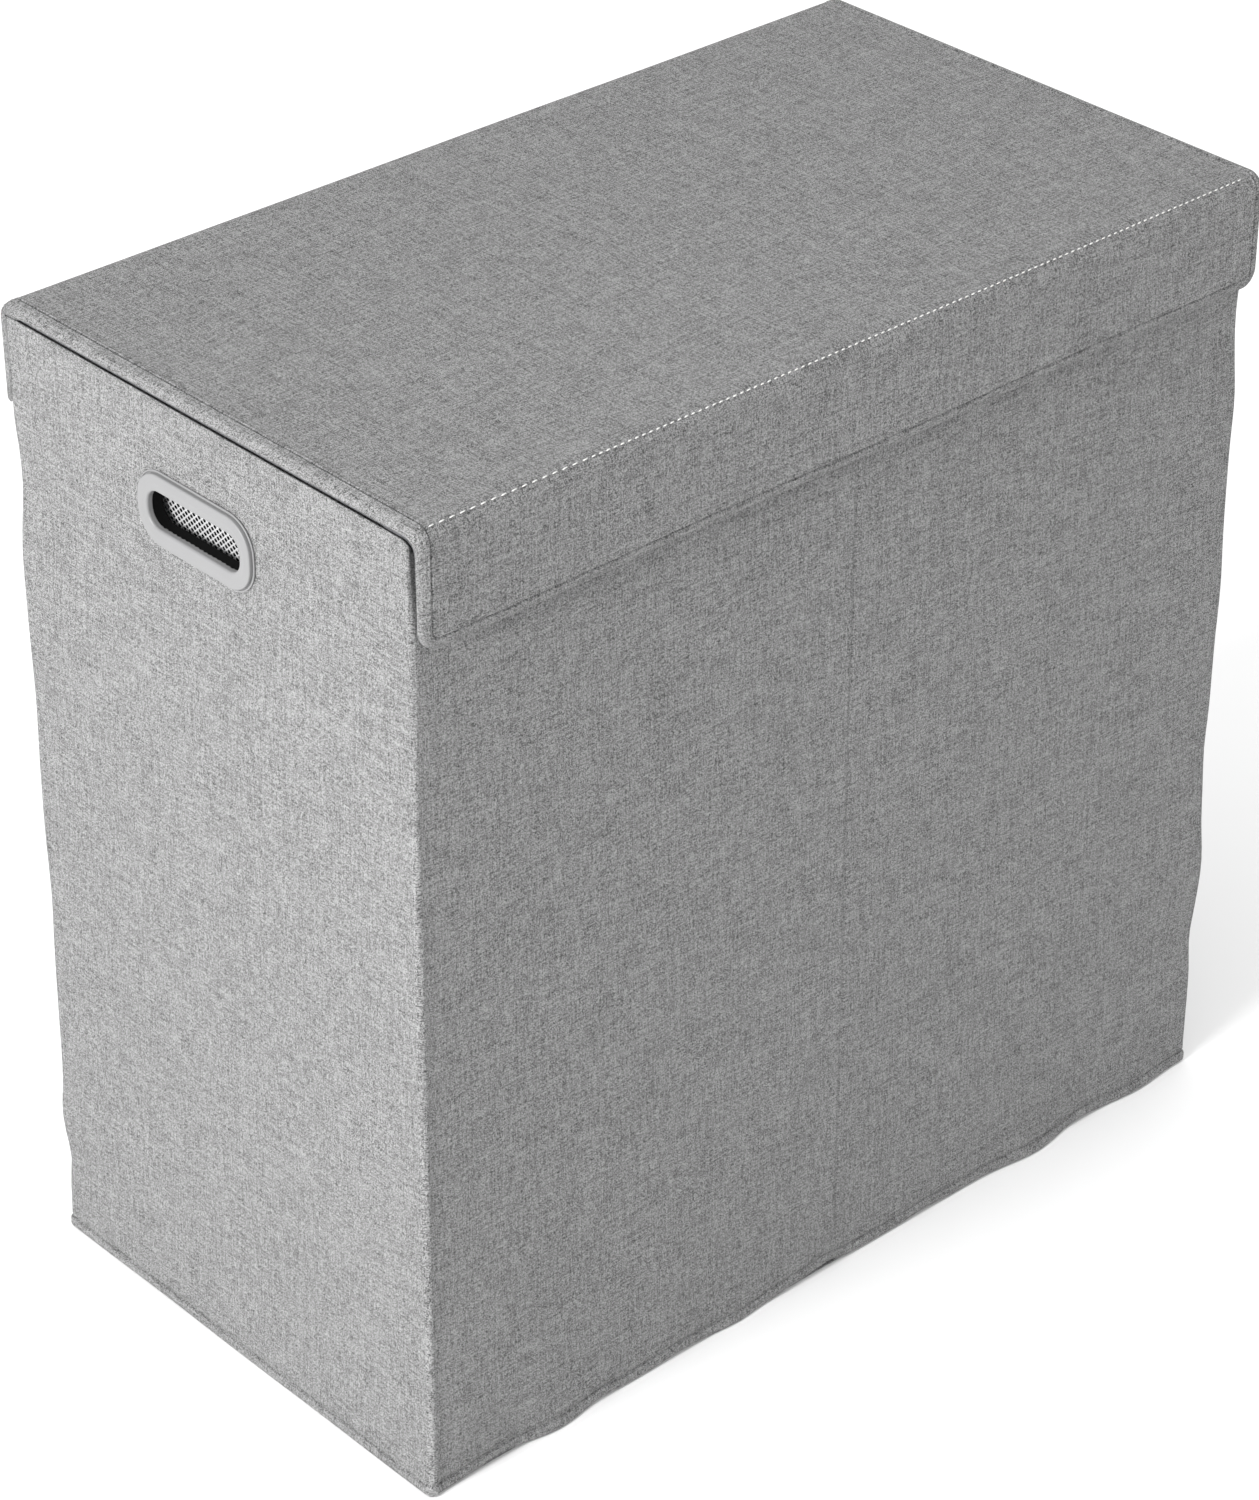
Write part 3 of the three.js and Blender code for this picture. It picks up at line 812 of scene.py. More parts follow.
def lean_edges(points, core, upwards, free):
    """Pushes the points near two of the tall edges in and out, by the edges' bells up the height."""
    reach = 70 * MM
    for (side, face), waves in EDGE_WAVES.items():
        near = bell(core[:, 0], side * HALF_WIDTH, reach) * bell(core[:, 1], face * HALF_DEPTH, reach)
        lean = sum(amount * bell(upwards, place, length) for place, length, amount in waves) * free * near
        points[..., 0] += side * lean
        points[..., 1] += face * lean


def body_cloth():
    """The outer cloth, one wrap round the four walls, over the rim and a little way down inside.

    Each point is its plan column at its row's inset and height, moved by the pushes, lifts and drops
    above. The walls move freely except close to the hem and the rim, and the front sets back at its top.
    """
    path, wall_start, wall_end, inner = body_profile()
    calm = 30 * MM
    openings = wall_start + grip_lines()[1] - along(path, wall_start)[1]
    hem_rows = np.linspace(0, wall_start, 38)[:-1]
    wall_rows = spaced(wall_start, wall_end, 10 * MM, openings)
    rim_rows = np.linspace(wall_end, path[1][-1], 48)[1:]
    rows = np.concatenate([hem_rows, wall_rows, rim_rows])
    columns = body_columns()
    core, way, distance = columns
    inset, upwards = profile_grid(path, rows, len(core))
    over_hem, at_rim = smooth(rows, wall_start, wall_start + calm), smooth(rows, wall_end - calm, wall_end)
    free, under_rim = (over_hem * (1 - at_rim))[:, None], (rows < wall_end)[:, None]

    push, lift = hem_waves(columns, upwards, under_rim)
    set_back = FRONT_SET_BACK * smooth(upwards, *SET_BACK_HEIGHTS) * (1 - smooth(inset, 1.6 * MM, inner))
    outwards = wall_push(columns, upwards, free, under_rim) + push - set_back * np.clip(-way[:, 1], 0, 1)
    height, corner = upwards + lift - rim_drop(columns, upwards), corner_radius(core, upwards)
    points = wall_points(columns, HALF_WIDTH, HALF_DEPTH, BODY_CORNER, inset - outwards, height, corner)
    lean_edges(points, core, upwards, free)
    wrap = patch(points, grid_map(distance, rows), keep=around_grips(points))
    cloth = build("body_cloth", "heather_cloth", [wrap])
    thicken(cloth, CLOTH)
    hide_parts("cover_front", "cover_back", "cover_left", "cover_right", "rim_binding")
    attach(cloth, "root")


def wall_lining():
    """The lining, one wrap round the inside of the walls, with slow ripples and the grips' openings."""
    half_x, half_y, radius = WALL_INSIDE, HALF_DEPTH - WALL_THICKNESS, 1.5 * MM
    openings_y, openings_z = grip_lines()
    heights = spaced(WALL_FOOT, RIM_FOOT + 2 * MM, 14 * MM, openings_z)
    loop = box_loop(half_x, half_y, radius, (16 * MM, 16 * MM), 3, more_y=openings_y)
    distance = loop[2]
    height = np.broadcast_to(heights[:, None], (len(heights), len(distance)))
    waves = [(7, 0.4, 1.0, 0.1 * MM), (-14, 0.3, 2.0, 0.08 * MM)]
    inset = 0.1 * MM + ripple(distance / distance[-1], height, waves) * bell(height, 0.3, 0.25)
    points = wall_points(loop, half_x, half_y, radius, inset, height)
    wrap = patch(points, grid_map(distance, heights), flip=True, keep=around_grips(points))
    lining = build("wall_lining", "lining_cloth", [wrap])
    thicken(lining, THIN_CLOTH)
    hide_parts("lining_front", "lining_back", "lining_left", "lining_right")
    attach(lining, "root")


# Lid and flaps


# The lid and its two flaps are one plate, from the foot of the back flap over the top to the foot of
# the front one. Its outer and inner faces follow two paths of y and z.
OUTER_PATH = rounded_path(
    [(BACK_OUT - BACK_LEAN, BACK_FOOT), (BACK_OUT, LID_TOP), (FLAP_OUT, LID_TOP), (FLAP_OUT, FLAP_FOOT)],
    [BACK_ROUND, FOLD_ROUND],
    12,
)
BACK_SUNK = 0.3 * MM
BACK_IN = HALF_DEPTH - BACK_SUNK
INNER_PATH = rounded_path(
    [(BACK_IN, BACK_FOOT), (BACK_IN, LID_UNDER), (FLAP_IN, LID_UNDER), (FLAP_IN, FLAP_FOOT)],
    [0, INNER_FOLD_ROUND],
    12,
)
PLATE_LENGTH = OUTER_PATH[1][-1]
INNER_LENGTH = INNER_PATH[1][-1]
EVEN_END = 20 * MM
OUTER_KNOTS = [0, EVEN_END, *OUTER_PATH[2], PLATE_LENGTH - EVEN_END, PLATE_LENGTH]
INNER_KNOTS = [0, EVEN_END, *INNER_PATH[2], INNER_LENGTH - EVEN_END, INNER_LENGTH]
# Distances along the outer path: the back corner's middle, where the lid meets the back flap, the arc of
# the front fold, the cut between lid and front flap, the stitches and the crease beside them
BACK_MITRE = (OUTER_PATH[2][0] + OUTER_PATH[2][1]) / 2
FRONT_ARC = OUTER_PATH[2][2:4]
FRONT_CUT = FRONT_ARC[0] - 18 * MM
STITCH_LINE = FRONT_ARC[0] + 4.7 * MM
FOLD_CREASE = FRONT_ARC[0] + 7.7 * MM
EDGE_PATH = rounded_path(
    [
        (PLATE_EDGE_START, 0),
        (0, 0),
        (0, 6.7 * MM),
        (5.5 * MM, 7.2 * MM),
        (8 * MM, LID_THICKNESS),
        (9.5 * MM, LID_THICKNESS),
    ],
    [PLATE_EDGE_ROUND, 0.8 * MM, 1.5 * MM, 1.0 * MM],
    8,
)
# Up to so far in front of the back corner, the plate's edge hugs the wall under it and leaves no slot
HUG_START, HUG_END = 15 * MM, 24 * MM
HUG_DEPTH = 1.15 * LID_THICKNESS


def plate_edge(ring):
    """The rolled edge of the lid and flaps, with a groove between two low ridges where its seam runs."""
    inset, depth = rolled_edge(EDGE_PATH, PLATE_EDGE_START)(ring)
    ridge, ridge_width = 0.3 * SEAM_DEPTH, 0.7 * MM
    groove = SEAM_DEPTH * bell(inset, SEAM_INSET, SEAM_WIDTH)
    outer = ridge * bell(inset, SEAM_INSET - 1.2 * MM, ridge_width)
    inner = ridge * bell(inset, SEAM_INSET + 1.1 * MM, ridge_width)
    return inset, depth + np.where(ring > 0, groove - outer - inner, 0)


def plate_rings(half, coarse):
    """Unrolled distances from a plate's edge to its middle, closest where its seam runs."""
    past = PLATE_EDGE_START - EDGE_PATH[1][-1]
    seam_low, seam_high = SEAM_INSET - 2.2 * MM, SEAM_INSET + 2 * MM
    parts = [
        np.linspace(past, seam_low, 34)[:-1],
        np.linspace(seam_low, seam_high, 15)[:-1],
        np.linspace(seam_high, PLATE_EDGE_START, 4)[:-1],
        np.linspace(PLATE_EDGE_START, half, round((half - PLATE_EDGE_START) / coarse) + 1),
    ]
    return np.concatenate(parts)


def plate_point(x, distance, share):
    """A point of the plate: across at x, at a distance along its outer path, a share of its depth in."""
    outer = along(OUTER_PATH, distance)
    inner = along(INNER_PATH, np.interp(distance, OUTER_KNOTS, INNER_KNOTS))
    place = outer + share[..., None] * (inner - outer)
    return np.concatenate([x[..., None], place], axis=-1)


def plate_patch(to_end, from_back):
    """The part of the plate whose rows are at these unrolled distances from one end.

    Its edges roll in as ring_map says, and hug the wall at the back. Its middle swells in slow ripples,
    the front fold has a faint crease, and the flaps' feet sway by a sine that dies away up the flap.
    """
    across, side = both_sides(plate_rings(HALF_WIDTH, 8 * MM))
    a, b = np.meshgrid(across, to_end)
    inset_a, inset_b, depth = ring_map(a, b, PLATE_CORNER, plate_edge)
    distance = inset_b if from_back else PLATE_LENGTH - inset_b
    unrolled = b if from_back else PLATE_LENGTH - b
    sway_height, sway_length, sway_reach = 0.7 * MM, 43 * MM, 18 * MM
    hug = (1 - smooth(unrolled, BACK_MITRE + HUG_START, BACK_MITRE + HUG_END)) * (a < 0)
    inset_a = inset_a * (1 - hug)
    depth = depth + hug * np.clip(depth / LID_THICKNESS, 0, 1) ** 4 * (HUG_DEPTH - LID_THICKNESS)
    x = side * (HALF_WIDTH - inset_a)
    in_middle = bell(a, HALF_WIDTH, 0.27) * np.clip(b / (12 * MM), 0, 1)
    swell = in_middle * ripple(x, unrolled, [(2.3, 0.3, 0.3, 0.16 * MM), (-4.7, 0.19, 1.2, 0.1 * MM)])
    fold = 0.35 * MM * bell(unrolled, FOLD_CREASE, 0.9 * MM) * (a > PLATE_EDGE_START / 2)
    share = (depth + fold - swell) / LID_THICKNESS
    sway = sway_height * np.sin(x / sway_length + 1) * np.exp(-np.maximum(b, 0) / sway_reach)
    points = plate_point(x, distance + (-sway if from_back else sway), share)
    uv = np.stack([side * (HALF_WIDTH - a), unrolled], axis=-1)
    return patch(points, uv, flip=from_back)


def mitre_wall(way):
    """The end of the lid, or of the back flap, that meets the other on the slant of the back corner."""
    gap, first_share, mapped_depth = 0.12 * MM, 0.08, 9 * MM
    outer = along(OUTER_PATH, BACK_MITRE)
    inner = np.array([BACK_IN, LID_UNDER])
    normal = np.array([outer[1] - inner[1], inner[0] - outer[0]]) / np.linalg.norm(outer - inner)
    across = spaced(-HALF_WIDTH + MM, HALF_WIDTH - MM, 20 * MM)
    x, share = np.meshgrid(across, np.linspace(first_share, 1, 5))
    place = outer + share[..., None] * (inner - outer) - way * gap * normal
    points = np.concatenate([x[..., None], place], axis=-1)
    return patch(points, np.stack([x, share * mapped_depth], axis=-1), flip=way > 0)


def lid_cloths():
    """The cloth of the back flap, the lid and the front flap, cut where one body ends."""
    flat_end = PLATE_LENGTH - FRONT_ARC[1]
    foot = plate_rings(flat_end, 6 * MM)
    over_fold = np.linspace(flat_end, PLATE_LENGTH - FRONT_ARC[0], 15)[1:]
    to_cut = np.linspace(over_fold[-1], PLATE_LENGTH - FRONT_CUT, 6)[1:]
    flap_rows = np.concatenate([foot, over_fold, to_cut])
    flap = build("front_flap_cloth", "heather_cloth", [plate_patch(flap_rows[::-1], False)])

    over_corner = np.linspace(BACK_MITRE, OUTER_PATH[2][1], 7)
    over_top = spaced(OUTER_PATH[2][1], FRONT_CUT, 8 * MM)[1:]
    lid_rows = PLATE_LENGTH - np.concatenate([over_corner, over_top])
    top = build("lid_cloth", "heather_cloth", [plate_patch(lid_rows, False), mitre_wall(-1)])

    back_foot = plate_rings(OUTER_PATH[2][0], 6 * MM)
    back_rows = np.concatenate([back_foot, np.linspace(OUTER_PATH[2][0], BACK_MITRE, 7)[1:]])
    back = build("back_flap_cloth", "heather_cloth", [plate_patch(back_rows[::-1], True), mitre_wall(1)])
    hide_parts("flap_cover")
    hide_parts("lid_cover")
    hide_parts("back_flap_cover")
    return flap, top, back


def fold_strip(name, slot, corners, radius, half_width, flip):
    """A strip of thin cloth that runs across the hamper and bends along a path of y and z.

    Gives the strip and its flat size, which is its width and the path's length.
    """
    path = rounded_path(corners, [radius], 14)
    distance = spaced(0, path[1][-1], 1.2 * MM)
    x, s = np.meshgrid(spaced(-half_width, half_width, 12 * MM), distance)
    points = np.concatenate([x[..., None], along(path, s)], axis=-1)
    strip = build(name, slot, [patch(points, np.stack([x, s], axis=-1), flip=flip)])
    thicken(strip, THIN_CLOTH)
    return strip, (2 * half_width, float(path[1][-1]))


def back_hinge():
    """The strip in the fold between the back flap and the lid, which shows when the lid is open."""
    under, reach = 0.9 * MM, BACK_ROUND + 3 * MM
    corners = [
        (BACK_OUT - under, LID_TOP - reach),
        (BACK_OUT - under, LID_TOP - under),
        (BACK_OUT - reach, LID_TOP - under),
    ]
    radius, half_width = BACK_ROUND - under, HALF_WIDTH - 4 * MM
    hinge, flat = fold_strip("back_hinge_cloth", "heather_cloth", corners, radius, half_width, False)
    start, end = (0, BACK_OUT, LID_TOP - BACK_ROUND), (0, BACK_OUT - BACK_ROUND, LID_TOP)
    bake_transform(hinge)


def front_fold():
    """The strip of lining in the fold between the lid and the front flap."""
    proud, reach = 0.25 * MM, 24 * MM
    corners = [
        (FLAP_IN + reach, LID_UNDER - proud),
        (FLAP_IN + proud, LID_UNDER - proud),
        (FLAP_IN + proud, LID_UNDER - reach),
    ]
    radius, half_width = INNER_FOLD_ROUND, HALF_WIDTH - 1.6 * MM
    inner, flat = fold_strip("front_fold_lining", "lining_cloth", corners, radius, half_width, True)
    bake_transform(inner)


def lid():
    """The covered lid with its flaps, the row of pale stitches and the strips inside its two folds."""
    flap, top, back = lid_cloths()
    for piece in (flap, stitches()):
        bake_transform(piece)
    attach(top, "lid")
    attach(back, "root")
    back_hinge()
    front_fold()
    width = 2 * (HALF_WIDTH + EDGE_PATH[1][-1] - PLATE_EDGE_START)
    float(PLATE_LENGTH - FRONT_CUT)
    float(FRONT_CUT - BACK_MITRE)


def stitches():
    """A row of short slanting stitches across the lid, just behind its front edge.

    Each is a rod with round ends, its radius the root of 1 - t^4 of its full one, that sinks in at both.
    The row starts with longer stitches at its left end, and each fills its share of the pitch.
    """
    long_pitch, short_pitch, filled_share = 6.6 * MM, 4.78 * MM, 0.6
    thickness, slant = 0.78 * MM, math.radians(5)
    first, change, last = -HALF_WIDTH + 10.5 * MM, -0.64 * HALF_WIDTH, HALF_WIDTH - 13 * MM
    long_ones = np.arange(first, change, long_pitch)
    short_ones = np.arange(long_ones[-1] + (long_pitch + short_pitch) / 2, last, short_pitch)
    middles = np.concatenate([long_ones, short_ones])
    lengths = filled_share * np.where(middles < change, long_pitch, short_pitch)
    t = np.linspace(-1, 1, 6)
    angle = np.linspace(0, 2 * math.pi, 7)
    radius = thickness / 2 * np.sqrt(np.clip(1 - t**4, 0, 1))
    rod_x = t[:, None] / 2 * np.ones(len(angle))
    rod_y = radius[:, None] * np.cos(angle)
    rod_z = radius[:, None] * np.sin(angle) + (0.5 - 0.5 * t**4)[:, None] * MM
    place = along(OUTER_PATH, STITCH_LINE)
    ahead = along(OUTER_PATH, STITCH_LINE + 0.2 * MM) - place
    ahead = ahead / np.linalg.norm(ahead)
    up = np.array([ahead[1], -ahead[0]])
    patches = []
    for middle, length in zip(middles, lengths):
        x = rod_x * length * math.cos(slant) - rod_y * math.sin(slant)
        y = rod_x * length * math.sin(slant) + rod_y * math.cos(slant)
        yz = place - y[..., None] * ahead + rod_z[..., None] * up
        patches.append(patch(np.concatenate([(x + middle)[..., None], yz], axis=-1)))
    return build("lid_stitches", None, patches, pale_thread())


# Flat pieces


def flat_piece(name, slot, node, body, axis, trim=None, sheet=None, **shape):
    """A soft or stiff flat piece in place of a packed one, in its box less a trim at each end."""
    lowest, highest = low(node), high(node)
    if trim is not None:
        lowest, highest = lowest + np.array(trim[0]), highest - np.array(trim[1])
    piece = build(name, slot, panel(lowest, highest, axis, **shape))
    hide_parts(node)
    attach(piece, body)
    return piece


def boards_and_linings():
    """The boards and linings of the flaps, the lid's lining, the floor, the base and the back flap's tape."""
    end, flap_corner = 3 * MM, 9 * MM
    flat_piece(
        "flap_stiffener", "board", "flap_board", "flap", 1,
        ((end, 0, 5 * MM), (end, 0, 14 * MM)), corner=flap_corner,
    )
    flat_piece(
        "back_flap_stiffener", "board", "back_flap_board", "root", 1,
        ((end, 0, 11 * MM), (end, 1.8 * MM, 14 * MM)), corner=flap_corner,
    )
    soft = {"edge_round": 0.35 * MM, "crown": 0.15 * MM}
    flat_piece(
        "lid_panel_lining", "lining_cloth", "lid_lining", "lid", 2,
        sheet=("stretched", ["lid_core"]), corner=3 * MM, **soft,
    )
    flat_piece(
        "flap_panel_lining", "lining_cloth", "flap_lining", "flap", 1, ((0, 0, 0), (0, 0, 10 * MM)),
        ("stretched", ["flap_stiffener"]), corner=flap_corner, **soft,
    )
    flat_piece(
        "floor_cloth", "heather_cloth", "cover_bottom", "root", 2,
        sheet=("laid", ["stage_floor"]), corner=2 * MM, edge_round=0.5 * MM,
    )
    base = flat_piece(
        "base_cloth", "lining_cloth", "base_cover", "base", 2, ((0, 0, -0.2 * MM), (0, 0, 0)),
        corner=3 * MM, edge_round=1.2 * MM, crown=0.25 * MM,
    )
    flat_piece(
        "back_flap_tape", "hook_and_loop", "back_flap_fastener", "root", 1,
        sheet=("stretched", ["body_cloth"]), corner=1.5 * MM,
    )


def fastener_pads():
    """The hook-and-loop pads on the lining and on the bins."""
    for side in SIDES:
        for part, body in (("wall_loop", "root"), ("bin_hook", f"{side}_bin")):
            node = f"{side}_{part}_pad"
            flat_piece(f"{node}_tape", "hook_and_loop", node, body, 0, corner=3 * MM)
        for face in FACES:
            for part, body in (("loop", "root"), ("hook", f"{side}_bin")):
                node = f"{side}_{face}_{part}_pad"
                flat_piece(f"{node}_tape", "hook_and_loop", node, body, 1, corner=3 * MM)


def centre_strap():
    """The strap across the middle: a web of webbing on edge and a tab at each end, sewn to the lining."""
    lowest, highest = low("centre_strap"), high("centre_strap")
    thick = 1.5 * MM
    web_low = np.array([-thick / 2, lowest[1] + thick / 2, lowest[2]])
    web_high = np.array([thick / 2, highest[1] - thick / 2, highest[2]])
    patches = panel(web_low, web_high, 0, corner=1 * MM, edge_round=0.6 * MM)
    for y0, y1 in ((lowest[1], lowest[1] + thick), (highest[1] - thick, highest[1])):
        tab_low, tab_high = lowest.copy(), highest.copy()
        tab_low[1], tab_high[1] = y0, y1
        patches += panel(tab_low, tab_high, 1, corner=1.5 * MM, edge_round=0.6 * MM)
    strap = build("centre_strap_webbing", "webbing", patches)
    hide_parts("centre_strap")
    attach(strap, "root")


# Grips


def outline_ring(half_y, half_z, radius, bend=9, straight=48):
    """The outline of a rounded rectangle, per row: an arc round each corner and the line to the next.

    On an arc the angle turns, and on a line the corner's centre moves: place = centre + radius * angle's
    direction. Half sizes and radius are one number for each row.
    """
    corners = np.array([(1, 1), (-1, 1), (-1, -1), (1, -1), (1, 1)], float)
    angles, ways = [], []
    for quarter in range(4):
        angles += [np.linspace(quarter, quarter + 1, bend), np.full(straight, quarter + 1.0)]
        share = np.linspace(0, 1, straight + 2)[1:-1, None]
        line = corners[quarter] * (1 - share) + corners[quarter + 1] * share
        ways += [np.tile(corners[quarter], (bend, 1)), line]
    angle = np.append(np.concatenate(angles), 4.0) * math.pi / 2
    way = np.concatenate([*ways, corners[:1]])
    y = way[:, 0] * (half_y - radius)[:, None] + radius[:, None] * np.cos(angle)
    z = way[:, 1] * (half_z - radius)[:, None] + radius[:, None] * np.sin(angle)
    return y, z


def ring_piece(name, node, side, hole, corners, radii, outer, teeth=0.0, material=None):
    """A moulded ring: a closed profile of (reach beyond the hole, height off the wall) carried round.

    The reach grows the hole's outline into the ring's own outline, in length, height and corner alike.
    Teeth make its deepest rows longer and shorter in turn along its lower side, as a clipped sine of y.
    """
    way = SIDES[side]
    hole_round, teeth_pitch, tooth_root, tooth_tip = 9.5 * MM, 3.7 * MM, 0.6 * MM, 0.2 * MM
    profile = rounded_path([*corners, corners[0]], radii, 6)
    rows = np.linspace(0, profile[1][-1], 170)
    reach, height = np.moveaxis(along(profile, rows), -1, 0)
    grow = (outer[0] - hole[0]) / (outer[1] - hole[1])
    y, z = outline_ring(hole[0] + reach * grow, hole[1] + reach, hole_round + reach * grow)
    deep = smooth(-height, -height.min() - tooth_root, -height.min() - tooth_tip)[:, None]
    on_lower_side = z < -hole[1] + 0.1 * MM
    wave = np.clip(2.5 * np.sin(2 * math.pi * y / teeth_pitch), -1, 1) * on_lower_side
    height = height[:, None] - teeth * deep * wave
    points = np.stack([way * (HALF_WIDTH + height), y + GRIP_MIDDLE[1], z + GRIP_MIDDLE[2]], axis=-1)
    ring = build(name, "grip_plastic", [patch(points, flip=way < 0)], material)
    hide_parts(node)
    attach(ring, "root")


def grips():
    """A bezel on each side wall, a raised ring on a thin flange, and the collar that holds it, coloured
    nearly black as painted shade for the inside of the hole.
    """
    outer = (GRIP_HIGH - GRIP_LOW)[1:] / 2
    barrel, barrel_end, proud, flange = 1.6 * MM, -0.9 * MM, 3.0 * MM, 1.0 * MM
    collar_gap, sleeve, sleeve_end, collar_thick = 0.3 * MM, 0.5 * MM, 2 * MM, 1.9 * MM
    hole = COLLAR_HALF - COLLAR_FLANGE - collar_gap - barrel
    wide = outer[1] - hole[1]
    inside = -(high("left_grip_bezel")[0] + HALF_WIDTH)
    bezel = [
        (barrel, 0.1 * MM),
        (wide, 0.1 * MM),
        (wide, flange),
        (wide - 0.9 * MM, flange),
        (wide - 1.1 * MM, 0.3 * MM),
        (wide - 1.7 * MM, 0.3 * MM),
        (wide - 1.7 * MM, proud - 0.15 * MM),
        (5.0 * MM, proud + 0.2 * MM),
        (0, proud - 0.1 * MM),
        (0, barrel_end),
        (barrel, barrel_end),
    ]
    round_step = [0.4 * MM, 0.25 * MM, 0.12 * MM, 0.12 * MM, 0.9 * MM]
    bezel_radii = [0.1 * MM, *round_step, 8 * MM, 1.5 * MM, 0.4 * MM, 0.2 * MM]
    collar_wide, collar_top = barrel + collar_gap + COLLAR_FLANGE, barrel_end - 0.1 * MM
    collar = [
        (sleeve, collar_top),
        (sleeve_end, collar_top),
        (sleeve_end, inside + collar_thick),
        (collar_wide, inside + collar_thick),
        (collar_wide, inside),
        (sleeve, inside),
    ]
    # The collars' nearly black colour is painted shade for the shadowed inside of the grips' holes.
    dark = painted_shade_plastic()
    for side in SIDES:
        ring_piece(
            f"{side}_grip_moulding", f"{side}_grip_bezel", side, hole, bezel, bezel_radii, outer, 0.35 * MM
        )
        ring_piece(
            f"{side}_grip_collar_ring", f"{side}_grip_collar", side, hole, collar,
            [0.1 * MM, 0.2 * MM, 0.3 * MM, 0.6 * MM, 0.4 * MM], outer, material=dark,
        )


# Bins


def bin_net(side):
    """A netting bag: walls that bow in between their corners, a rounded foot and a bottom that sags.

    The walls bow by a sine down their height and a cosine across, and have slow folds. They stand back
    from the box's side behind the band, and less below it. The bottom is the wall's last row drawn in
    towards its middle point, and is mapped flat from x and y.
    """
    lowest, highest = low(f"{side}_bin_mesh"), high(f"{side}_bin_mesh")
    middle, half = (lowest + highest) / 2, (highest - lowest) / 2 - 0.4 * MM
    radius, foot_round, band_height = 7 * MM, 12 * MM, 25 * MM
    bow_depth, fold_depth, sag = 5.5 * MM, 2.2 * MM, 0.8 * MM
    back_at_band, less_below, change_height = 1.2 * MM, 0.8 * MM, 9 * MM
    loop = box_loop(half[0], half[1], radius, (12 * MM, 12 * MM), 6)
    core, way, distance = loop
    top, foot = highest[2] - 1.5 * MM, lowest[2] + 0.5 * MM
    path = rounded_path([(0, top), (0, foot), (20 * MM, foot)], [foot_round])
    rows = spaced(0, path[1][-1], 11 * MM, np.linspace(*path[2], 6))
    inset, height = profile_grid(path, rows, len(core))
    fall = np.clip((highest[2] - band_height - height) / (highest[2] - lowest[2]), 0, 1)
    between = np.cos(math.pi / 2 * core[:, 0] / half[0]) * np.abs(way[:, 1])
    between = between + np.cos(math.pi / 2 * core[:, 1] / half[1]) * np.abs(way[:, 0])
    folds = ripple(distance / distance[-1], height, [(14, 0.9, 0.5, 1), (23, -0.7, 2, 0.6)])
    bow = np.sin(math.pi * fall**1.2) * between * bow_depth + fall * (1 - fall) * folds * fold_depth
    below_band = smooth(highest[2] - height, band_height, band_height + change_height)
    set_in = back_at_band - less_below * below_band
    points = wall_points(loop, half[0], half[1], radius, inset + set_in + np.maximum(bow, 0), height)
    points[..., :2] += middle[:2]
    share = np.linspace(1, 0, 9)[:, None, None]
    bottom = points[-1][None] * share + np.array([*middle[:2], points[-1, 0, 2]]) * (1 - share)
    bottom[..., 2] -= sag * (1 - share[..., 0] ** 2)
    walls = patch(points, grid_map(distance, -rows), flip=True)
    net = build(f"{side}_bin_net", "bin_mesh", [walls, patch(bottom, bottom[..., :2], flip=True)])
    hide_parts(f"{side}_bin_mesh")
    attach(net, f"{side}_bin")
    wall_area = float(distance[-1] * path[1][-1])
    flat = (float(distance[-1]), float(path[1][-1] + 2 * half[1]))


def bin_band(side):
    """The webbing folded over the top of a bin: a hook-shaped closed profile carried round."""
    node = f"{side}_bin_binding"
    lowest, highest = low(node), high(node)
    middle, half = (lowest + highest) / 2, (highest - lowest) / 2
    top, foot = highest[2], lowest[2]
    thick, over, inner_leg, inner_thick = 1 * MM, 3.0 * MM, 9.5 * MM, 0.6 * MM
    corners = [
        (0, foot),
        (0, top),
        (over, top),
        (over, top - inner_leg),
        (over - inner_thick, top - inner_leg),
        (over - inner_thick, top - thick),
        (thick, top - thick),
        (thick, foot),
        (0, foot),
    ]
    small, inside_round, outside_round = 0.25 * MM, 0.4 * MM, 1.1 * MM
    radii = [outside_round, outside_round, small, small, inside_round, inside_round, inside_round]
    path = rounded_path(corners, radii, 4)
    rows = np.linspace(0, path[1][-1], 80)
    radius = 6 * MM
    loop = box_loop(half[0], half[1], radius, (14 * MM, 14 * MM), 6)
    inset, height = profile_grid(path, rows, len(loop[2]))
    points = wall_points(loop, half[0], half[1], radius, inset, height)
    points[..., :2] += middle[:2]
    band = build(f"{side}_bin_band", "webbing", [patch(points, grid_map(loop[2], rows)[..., ::-1])])
    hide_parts(node)
    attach(band, f"{side}_bin")


